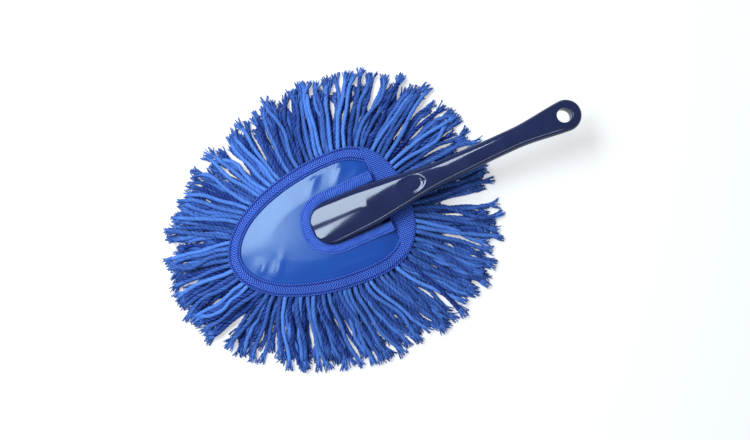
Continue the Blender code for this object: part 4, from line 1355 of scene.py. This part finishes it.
@dataclass
class Bindings:
    """The tape round the head, the tape round the U, and all their stitches."""

    plan: HeadPlan
    stations: int = 760
    across: int = 46
    round_power: float = 6.0
    welt_height: float = 0.00030
    welt_width: float = 0.0008
    welt_place: float = 0.0009
    seam_inset: float = 0.0019
    seam_depth: float = 0.00050
    seam_width: float = 0.00050
    pucker_width: float = 0.0012
    pucker_height: float = 0.00010
    binding_crown: float = 0.00015
    waver: float = 0.00018
    waver_radius: float = 0.08
    seam_points: int = 1200
    tape_stations: int = 760
    tape_across: int = 30
    tape_crown: float = 0.0007
    tape_sink: float = 0.0002
    rib_pitch: float = 0.0019
    rib_slope: float = 0.9
    rib_height: float = 0.00055
    lean: float = 0.0006
    front_lean: float = 0.0003
    stitch_pitch: float = 0.0031
    stitch_share: float = 0.80
    stitch_radius: float = 0.00028
    stitch_arch: float = 1.3
    stitch_sink: float = 0.75
    band_seam_inset: float = 0.0018
    band_seam_end: float = 0.0009
    band_seam_height: float = 0.0024

    def relief(self, inset: Array, width: float) -> Array:
        """Welts near both edges, and grooves where the seams pull the tape down."""
        edge = np.minimum(inset, width - inset)
        welt = bell(edge - self.welt_place, self.welt_width)
        seam = bell(edge - self.seam_inset, self.seam_width)
        return self.welt_height * welt - self.seam_depth * seam

    def binding_top(self, inset: Array, place: Array, along: Array) -> Array:
        """Height of the binding's upper face.

        The padding's lift, a crown, the relief, and puckers between the stitches.
        """
        plan = self.plan
        width = plan.binding_width
        crown = self.binding_crown * np.sin(np.clip(inset / width, 0, 1) * math.pi)
        edge = np.minimum(inset, width - inset)
        near = bell(edge - self.seam_inset, self.pucker_width)
        pucker = self.pucker_height * near * np.cos(2 * math.pi * along / self.stitch_pitch)
        base = plan.binding_top_z + plan.padded_lift(inset, place)
        return base + crown + self.relief(inset, width) + pucker

    def round_binding(self) -> Surface:
        """The tape round the head: a flat oval section with rounded edges.

        Half the thickness at share s across is half * (1 - |2s - 1|^p)^(1/2).
        """
        plan = self.plan
        width = plan.binding_width
        s = np.linspace(0.0, 1.0, self.across)
        s = s - 0.022 * np.sin(2 * math.pi * s)
        angles = plan.outline.even_angles(self.stations)
        along = np.arange(self.stations) * plan.outline.perimeter() / self.stations
        count = round(plan.outline.perimeter() / self.stitch_pitch)
        stitch_along = along * self.stitch_pitch * count / plan.outline.perimeter()
        waver = self.waver * slow_noise(angles, 5, (9, 14, 23))
        columns = []
        for share in s:
            inset = share * width
            flat = plan.outline.inset(inset).at(angles)
            flat = flat * (1 + waver / self.waver_radius)[:, None]
            full = (1 - abs(2 * share - 1) ** self.round_power) ** 0.5
            top = self.binding_top(np.full(self.stations, inset), flat[:, 0], stitch_along)
            low = plan.binding_z + plan.padded_lift(inset, flat[:, 0])
            columns.append((flat, *oval(low, top, full)))
        over = [lifted(flat, top) for flat, top, _ in columns]
        under = [lifted(flat, low) for flat, _, low in columns[1:-1][::-3]]
        grid = np.stack(over + under, axis=1)
        insets = np.concatenate((s, s[1:-1][::-3], s[:1])) * width
        rows = np.append(along, plan.outline.perimeter())
        surface = Surface.grid(grid, np.abs(insets - width / 2), rows, True, True)
        edge = np.minimum(insets, width - insets)[:-1]
        # The seam grooves, marked for painted shade in the binding's colour.
        groove = bell(edge - self.seam_inset, self.seam_width)
        surface.marks["groove"] = np.tile(groove, self.stations)
        return surface

    def ribs(self, out: Array, along: Array) -> Array:
        """The U tape's slanted ribs, 0 between them and 1 on top: |sin| of their phase."""
        return np.abs(np.sin((along + self.rib_slope * out) / self.rib_pitch * math.pi))

    def hugged(self, flat: Array, out: Array) -> Array:
        """The tape's inner edge drawn in to the handle, more on its upper leg."""
        free = (1 - np.clip(out / self.plan.tape_width, 0.0, 1.0)) ** 1.5
        along = eased(flat[..., 0], self.plan.slot_apex_x, self.plan.mouth_x)
        side = np.where(flat[..., 1] > 0, self.lean * along, 0.0)
        front = self.front_lean * (1 - eased(flat[..., 0], *self.plan.bend))
        return flat + np.stack((front * free, -side * free), axis=-1)

    def tape_height(self, out: Array, along: Array) -> Array:
        """Height of the U tape's upper face: a crown with slanted ribs and puckers."""
        share = np.clip(out / self.plan.tape_width, 0.0, 1.0)
        crown = self.tape_crown * np.sin(share * math.pi) ** 0.7
        rib = self.rib_height * self.ribs(out, along) * np.sin(share * math.pi) ** 0.5
        seam = bell(self.plan.tape_width - out - self.seam_inset, self.seam_width)
        return self.plan.tape_top_z - self.tape_sink + crown + rib - self.seam_depth * seam

    def opening_tape(self) -> Surface:
        """The tape folded round the U: its section is a rounded flat loop.

        On the opening's side the loop reaches down past the vinyl's cut edge.
        """
        plan = self.plan
        s = np.linspace(0.0, 1.0, self.tape_across)
        s = s - 0.03 * np.sin(2 * math.pi * s)
        dense = np.stack([
            plan.slot_line(plan.tape_width * share, self.tape_stations) for share in s
        ], axis=1)
        along = path_lengths(plan.slot_line(plan.tape_width / 2, self.tape_stations))
        out = s * plan.tape_width
        dense = self.hugged(dense, out[None, :])
        full = (1 - np.abs(2 * s - 1) ** self.round_power) ** 0.5
        top = self.tape_height(out[None, :], along[:, None])
        upper, lower = (lifted(dense, face) for face in oval(plan.tape_z, top, full))
        rings = np.concatenate((upper, lower[:, 1:-1][:, ::-2]), axis=1)
        inner = np.concatenate((out, out[1:-1][::-2], out[:1]))
        surface = Surface.loft(rings, inner, along)
        # The hollows between the ribs, marked for painted shade in the tape's colour.
        groove = 1 - self.ribs(inner[None, :-1], along[:, None])
        surface.marks["groove"] = np.append(np.clip(groove * 1.6 - 0.4, 0, 1).ravel(), (0, 0))
        return surface

    def stitches(self, line: Array, closed: bool) -> Surface:
        """Single stitches along a line: each arches out of the tape and back in.

        Their height over the line is r * (arch * sin(pi t) - sink), r being the radius.
        """
        if closed:
            line = np.vstack((line, line[:1]))
        travelled = path_lengths(line)
        count = round(travelled[-1] / self.stitch_pitch)
        pitch = travelled[-1] / count
        t = np.linspace(0.0, 1.0, 7)
        places = (np.arange(count)[:, None] + 0.5 + (t - 0.5) * self.stitch_share) * pitch
        paths = np.stack([np.interp(places, travelled, column) for column in line.T], axis=-1)
        arch = self.stitch_arch * np.sin(math.pi * t) - self.stitch_sink
        paths[..., 2] += self.stitch_radius * arch
        radius = np.full(len(t), self.stitch_radius)
        return Tubes(6).surface(paths, radius, radius, np.zeros(count))

    def seam_lines(self) -> dict[str, tuple[Array, bool]]:
        """Each seam's line on the face that it is sewn through, and if it closes."""
        plan = self.plan
        angles = plan.outline.even_angles(self.seam_points)
        lines = {}
        for name, inset in (
            ("binding_outer_stitching", self.seam_inset),
            ("binding_inner_stitching", plan.binding_width - self.seam_inset),
        ):
            flat = plan.outline.inset(inset).at(angles)
            height = self.binding_top(np.full(len(flat), inset), flat[:, 0], 0 * flat[:, 0])
            lines[name] = (lifted(flat, height), True)
        out = plan.tape_width - self.seam_inset
        flat = plan.slot_line(out, 900)
        height = self.tape_height(np.full(len(flat), out), path_lengths(flat))
        lines["opening_stitching"] = (lifted(flat, height), False)
        seam_x = plan.mouth_x + LAYER_GAP + self.band_seam_inset
        reach = plan.outline.inset(plan.binding_width + self.band_seam_end).half_at(seam_x)
        y = np.linspace(-reach, reach, 200)
        flat = np.column_stack((np.full(len(y), seam_x), y))
        lines["band_stitching"] = (lifted(flat, plan.cover_z + self.band_seam_height), False)
        return lines

    def build(self, finishes: Finishes) -> None:
        """Makes both tapes and the four seams."""
        for name, finish, node, surface in (
            ("edge_binding", "binding", "perimeter_binding", self.round_binding()),
            ("opening_tape", "tape", "opening_binding", self.opening_tape()),
        ):
            add_piece(name, finishes[finish], node, surface.mesh(name, True))
        for node, (line, closed) in self.seam_lines().items():
            name = node.replace("binding_", "").replace("stitching", "stitches")
            mesh = self.stitches(line, closed).mesh(name, True)
            add_piece(name, finishes["thread"], node, mesh)


@dataclass
class Handle:
    """The moulded handle: tongue, nose, thumb dish, grip and hanging eye."""

    tip_x: float = -0.0039
    length: float = 0.240
    tongue_z: float = 0.0157
    tongue_thickness: float = 0.0024
    tongue_front_x: float = -0.0567
    tongue_half: float = 0.0291
    tongue_room: float = 0.003
    nose_width: float = 0.0356
    neck_width: float = 0.0205
    waist_width: float = 0.0173
    eye_width: float = 0.0264
    eye_setback: float = 0.0146
    nose_rise: float = 0.0074
    nose_round: float = 0.0012
    nose_round_run: float = 0.018
    rim_power: float = 12.0
    grip_thickness: float = 0.0130
    grip_shares: tuple[float, float] = (0.225, 0.36)
    wall: float = 0.0022
    hole_radius: float = 0.0061
    hole_flare: float = 0.0012
    dish_share: float = 0.375
    dish_size: tuple[float, float, float] = (0.0133, 0.0080, 0.0013)
    dish_floor: float = 0.64
    slope_shares: tuple[float, ...] = (0, 0.18, 0.215, 0.45, 0.51, 0.665, 0.735, 0.81, 1)
    slopes: tuple[float, ...] = (9.0, 9.0, 3.2, 3.2, 7.8, 7.8, 6.8, 5.2, 0.0)
    stations: int = 640
    points: int = 96
    crowding: float = 0.86
    rib_cells: int = 8
    rib_half: float = 0.0008
    rib_lift: float = 0.0015
    hollow_inset: float = 0.003
    eye_wall: float = 0.004
    past_faces: float = 0.004
    dish_cover_run: float = 0.026

    @property
    def end_x(self) -> float:
        """Where the handle ends."""
        return self.tip_x + self.length

    @property
    def eye_x(self) -> float:
        """The middle of the hanging eye's hole."""
        return self.end_x - self.eye_setback

    @property
    def tongue_top(self) -> float:
        """Height of the tongue's upper face."""
        return self.tongue_z + self.tongue_thickness

    def place(self, x: Array) -> Array:
        """Share of the handle's length."""
        return (x - self.tip_x) / self.length

    def end_full(self, x: Array) -> Array:
        """How full the rounded end of the eye is."""
        return rounded_end(self.end_x - x, 0.005, 2.5)

    def full_half(self, x: Array) -> Array:
        """Half the width, eased between nose, neck, waist and eye."""
        place = self.place(x)
        return 0.5 * (
            self.nose_width
            + (self.neck_width - self.nose_width) * eased(place, 0.17, 0.50)
            + (self.waist_width - self.neck_width) * eased(place, 0.42, 0.72)
            + (self.eye_width - self.waist_width) * eased(place, 0.755, 0.98)
        )

    def half_width(self, x: Array) -> Array:
        """Half the width, round at both ends."""
        nose = rounded_end(x - self.tip_x, self.nose_round_run, 2.3)
        return self.full_half(x) * nose * rounded_end(self.end_x - x, self.eye_width / 2, 2.0)

    def crown(self, x: Array) -> Array:
        """Height of the top line before its ends are rounded: its slopes summed up."""
        dense = np.linspace(self.tip_x, self.end_x, 961)
        slopes = np.interp(self.place(dense), self.slope_shares, self.slopes)
        slope = np.tan(np.radians(slopes))
        step = dense[1] - dense[0]
        climb = np.concatenate(([0.0], np.cumsum((slope[1:] + slope[:-1]) / 2 * step)))
        return self.tongue_top + self.nose_rise + np.interp(x, dense, climb)

    def bottom(self, x: Array) -> Array:
        """Height of the underside, which lifts off the tongue behind the nose."""
        lift = eased(self.place(x), *self.grip_shares)
        seat = self.tongue_z + self.tongue_thickness / 3
        low = seat + (self.crown(x) - self.grip_thickness - seat) * lift
        middle = self.crown(x) - self.grip_thickness / 2
        return middle + (low - middle) * self.end_full(x)

    def top(self, x: Array) -> Array:
        """Height of the top line, rounded down at the nose and at the eye."""
        nose = rounded_end(x - self.tip_x, self.nose_round, 2.0)
        high = self.tongue_top + (self.crown(x) - self.tongue_top) * nose
        middle = self.crown(x) - self.grip_thickness / 2
        full = self.end_full(x)
        return np.where(full >= 1, high, middle + (high - middle) * full)

    def equator(self, x: Array) -> Array:
        """Height where the section is widest: high on the nose, halfway on the grip."""
        share = 0.62 + (0.50 - 0.62) * eased(self.place(x), *self.grip_shares)
        return self.bottom(x) + (self.top(x) - self.bottom(x)) * share

    def dish_depth(self, x: Array, y: Array) -> Array:
        """Depth of the thumb dish: a wall in a smooth step round a nearly flat bottom."""
        half_length, half_width, depth = self.dish_size
        off = (x - self.tip_x - self.length * self.dish_share) / half_length
        round_off = np.sqrt(off**2 + (y / half_width) ** 2)
        return depth * (1 - eased(round_off, self.dish_floor, 1.0))

    def skin(self) -> Surface:
        """The outside, as superellipse sections about the equator.

        y is the half width w times the signed power of cos, and z the height above or
        below the equator times that of sin, with a squarer power underneath. The round
        of the nose cuts a wider arch: with W half its full width, the height there is
        (1 - |y/W|^p)^(1/p) times the rim's (1 - |y/w|^r)^(1/r).
        """
        t = np.linspace(0.0, 1.0, self.stations + 2)[1:-1]
        x = self.tip_x + self.length * (
            t - self.crowding * np.sin(2 * math.pi * t) / (2 * math.pi)
        )
        angles = full_turn(self.points)
        cos, sin = np.cos(angles), np.sin(angles)
        lift = eased(self.place(x), *self.grip_shares)[:, None]
        arch = 2.15 + 0.35 * lift
        power = 2 / np.where(sin > 0, arch, 6.0 - 2.0 * lift)
        up = (self.top(x) - self.equator(x))[:, None]
        down = (self.equator(x) - self.bottom(x))[:, None]
        side = signed_power(cos, power)
        y = self.half_width(x)[:, None] * side
        past = x[:, None] - self.tip_x
        wide = np.minimum(np.abs(y) / self.full_half(x)[:, None], 1.0)
        rim = (1 - eased(past, 0.012, self.nose_round_run)) / self.rim_power
        cut = (1 - wide**arch) ** (1 / arch) * (1 - np.abs(side) ** self.rim_power) ** rim
        rise = np.where(past < self.nose_round_run, cut, np.abs(sin) ** power)
        z = self.equator(x)[:, None] + np.where(sin > 0, up * rise, -down * np.abs(sin) ** power)
        z = z - np.where(sin > 0, self.dish_depth(x[:, None], y), 0.0)
        rings = np.stack((np.broadcast_to(x[:, None], y.shape), y, z), axis=-1)
        return Surface.loft(rings, np.arange(self.points + 1) / self.points, x)

    def tongue(self, plan: HeadPlan) -> Surface:
        """The flat plate in the pocket, its edges rounded by a superellipse."""
        front_x, rear_x = self.tongue_front_x, plan.mouth_x - self.tongue_room
        widest = front_x + (rear_x - front_x) * 0.55
        egg = Egg(widest, widest - front_x, rear_x - widest, self.tongue_half, 2.2, 3.0)
        turn = np.linspace(-math.pi / 2, math.pi / 2, 13)
        angles = egg.even_angles(240)
        half = self.tongue_thickness / 2
        rings = [
            lifted(
                egg.inset(0.0014 * (1 - math.cos(t))).at(angles),
                self.tongue_z + half + half * math.sin(t),
            )
            for t in turn
        ]
        return Surface.loft(np.stack(rings), np.linspace(0, 1, 241), turn)

    def arches(self, x: Array, grow: float, low: Array) -> Array:
        """Closed rings that follow the hollow, grown by a length, down to a height."""
        angles = np.linspace(0.0, math.pi, 33)
        cos, sin = np.cos(angles), np.sin(angles)
        half = (self.half_width(x) - self.wall + grow)[:, None]
        off = np.abs(x - self.tip_x - self.length * self.dish_share) / self.dish_cover_run
        cover = self.dish_size[2] * (1 - eased(off, 0.5, 1.0))
        ceiling = (self.top(x) - self.wall - cover + grow)[:, None]
        equator = self.equator(x)[:, None]
        y = half * signed_power(cos, 2 / 2.5)
        z = equator + (ceiling - equator) * signed_power(sin, 2 / 2.5)
        floor = np.broadcast_to(low, x.shape)[:, None]
        y = np.concatenate((half, y, -half), axis=1)
        z = np.concatenate((floor, z, floor), axis=1)
        return np.stack((np.broadcast_to(x[:, None], y.shape), y, z), axis=-1)

    def cutters(self) -> tuple[Surface, list[Surface], Surface]:
        """The hollow, its ribs, and the eye's hole, which flares at both faces."""
        start = self.tip_x + self.hollow_inset
        end = self.eye_x - self.hole_radius - self.eye_wall
        x = np.linspace(start, end, 90)
        count = 35
        around = np.linspace(0.0, 1.0, count + 1)
        low = np.full(len(x), self.tongue_z - self.past_faces)
        hollow = Surface.loft(self.arches(x, 0.0, low), around, x)
        ribs = []
        for rib in range(1, self.rib_cells):
            middle = start + (end - start) * rib / self.rib_cells
            ends = np.array((middle - self.rib_half, middle + self.rib_half))
            rib_low = np.full(2, float(self.bottom(np.array(middle))) + self.rib_lift)
            ribs.append(Surface.loft(self.arches(ends, self.wall / 2, rib_low), around, ends))
        top = float(self.crown(np.array(self.eye_x)))
        bottom = top - self.grip_thickness
        turn = np.linspace(0.0, math.pi / 2, 9)
        flare = self.hole_flare
        radii = self.hole_radius + flare * (1 - np.cos(turn))
        heights = flare * (1 - np.sin(turn))
        radii = np.concatenate(([radii[-1]], radii[::-1], radii, [radii[-1]]))
        past = self.past_faces
        z = np.concatenate(([bottom - past], bottom + heights[::-1], top - heights, [top + past]))
        spin = full_turn(72)
        rings = np.stack([
            np.column_stack((
                self.eye_x + r * np.cos(spin), r * np.sin(spin), np.full(72, height)
            )) for r, height in zip(radii, z)
        ])
        hole = Surface.loft(rings, np.linspace(0, 1, 73), z)
        return hollow, ribs, hole

    def build(self, plan: HeadPlan, finishes: Finishes) -> None:
        """Joins the skin to the tongue, hollows it, and pierces the eye."""
        name = "moulded_handle"
        raw = linked("raw_handle", self.skin().mesh(name, True))
        hollow, ribs, hole = self.cutters()
        for surface, way in (
            (self.tongue(plan), "UNION"), (hollow, "DIFFERENCE"),
            *((rib, "UNION") for rib in ribs), (hole, "DIFFERENCE"),
        ):
            carve(raw, surface, way)
        mesh = raw.data.copy()
        mesh.name = name
        bpy.data.objects.remove(raw)
        mesh.shade_smooth()
        mesh.set_sharp_from_angle(angle=math.radians(35))
        add_piece(name, finishes["moulded"], "handle", mesh, Body.HANDLE)


def carve(obj: bpy.types.Object, surface: Surface, way: str) -> None:
    """Makes the UNION or the DIFFERENCE of an object and a closed surface."""
    helper = linked("helper", surface.mesh("helper", True))
    modifier = obj.modifiers.new("cut", "BOOLEAN")
    modifier.operation, modifier.solver, modifier.object = way, "EXACT", helper
    graph = bpy.context.evaluated_depsgraph_get()
    mesh = bpy.data.meshes.new_from_object(obj.evaluated_get(graph))
    obj.modifiers.clear()
    old, obj.data = obj.data, mesh
    bpy.data.meshes.remove(old)
    bpy.data.objects.remove(helper)

@dataclass
class Studio:
    """Floor, light and camera, as in the photograph."""

    camera_place: tuple[float, float, float] = (0.0499, -0.0796, 0.700)
    camera_turn: tuple[float, float, float] = (5.03, 2.47, -23.74)
    lens: float = 39.0
    floor_size: float = 6.0
    lamp_colour: Colour = (0.86, 0.94, 1.0)

    def floor(self) -> None:
        """A wide white floor that shows the object's shadow, and stays white far away."""
        size = self.floor_size
        corners = [(-size, -size, 0), (size, -size, 0), (size, size, 0), (-size, size, 0)]
        mesh = bpy.data.meshes.new("floor")
        mesh.from_pydata(corners, [], [(0, 1, 2, 3)])
        material = bpy.data.materials.new("white_floor")
        material.use_nodes = True
        material.node_tree.nodes.clear()
        wiring = Wiring(material.node_tree)
        ray = wiring.add("LightPath").outputs
        seen = wiring.math("MAXIMUM", ray["Is Camera Ray"], ray["Is Transmission Ray"])
        inputs = {0: wiring.object_place()}
        away = wiring.add("VectorMath", inputs, operation="LENGTH").outputs["Value"]
        whiteness = wiring.add("MapRange", {
            "Value": away, "From Min": 0.5, "From Max": 1.6, "To Min": 0.43, "To Max": 1.0,
        }).outputs[0]
        plain = wiring.add("BsdfDiffuse", {"Color": (0.80, 0.80, 0.80, 1.0)})
        glow = wiring.add("Emission", {
            "Color": (1, 1, 1, 1), "Strength": wiring.math("MULTIPLY", seen, whiteness),
        })
        both = wiring.add("AddShader", {0: plain.outputs[0], 1: glow.outputs[0]})
        wiring.add("OutputMaterial", {"Surface": both.outputs[0]})
        mesh.materials.append(material)
        made = linked("floor", mesh)

    def softbox(
        self, name: str, at: tuple[float, float, float], size: tuple[float, float],
        radiance: float, turn: float,
    ) -> None:
        """A rectangular lamp that faces down, turned by degrees, with a given radiance."""
        lamp = bpy.data.lights.new(name, "AREA")
        lamp.shape = "RECTANGLE"
        lamp.size, lamp.size_y = size
        lamp.energy = radiance * math.pi * size[0] * size[1]
        lamp.color = self.lamp_colour
        made = linked(name, lamp)
        made.location = at
        made.rotation_euler.z = math.radians(turn)

    def build(self) -> None:
        """Sets up the stage round the object."""
        self.floor()
        world = bpy.data.worlds.new("studio")
        bpy.context.scene.world = world
        world.use_nodes = True
        background = world.node_tree.nodes["Background"]
        wiring = Wiring(world.node_tree)
        ray = wiring.add("LightPath").outputs["Is Camera Ray"]
        strength = wiring.math("MULTIPLY_ADD", ray, 0.75, 0.25)
        world.node_tree.links.new(strength, background.inputs["Strength"])
        background.inputs["Color"].default_value = (0.95, 0.97, 1.0, 1.0)
        self.softbox("window_upper", (-0.3056, 0.5611, 1.0), (0.625, 0.77), 9.0, -18.0)
        self.softbox("window_lower", (-0.424, -0.023, 1.0), (0.158, 0.25), 9.5, -16.0)
        self.softbox("edge_strip", (-0.05, -1.45, 1.0), (0.90, 0.35), 4.5, 0.0)
        camera = bpy.data.cameras.new("camera")
        camera.lens, camera.sensor_width = self.lens, 36.0
        made = linked("camera", camera)
        made.location = self.camera_place
        made.rotation_euler = [math.radians(turn) for turn in self.camera_turn]
        bpy.context.scene.camera = made
        bpy.context.scene.view_settings.view_transform = "Standard"


def main() -> None:
    """Builds the duster's pieces in order, then the stage."""
    logging.basicConfig(level=logging.INFO, format="%(message)s")
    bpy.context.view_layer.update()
    finishes = Mixer().mixed()
    plan = HeadPlan.read()
    Handle().build(plan, finishes)
    Fringe(plan).build(finishes)
    Filling(plan).build(finishes)
    Cover(plan).build(finishes)
    Bindings(plan).build(finishes)
    Studio().build()


if __name__ == "__main__":
    main()
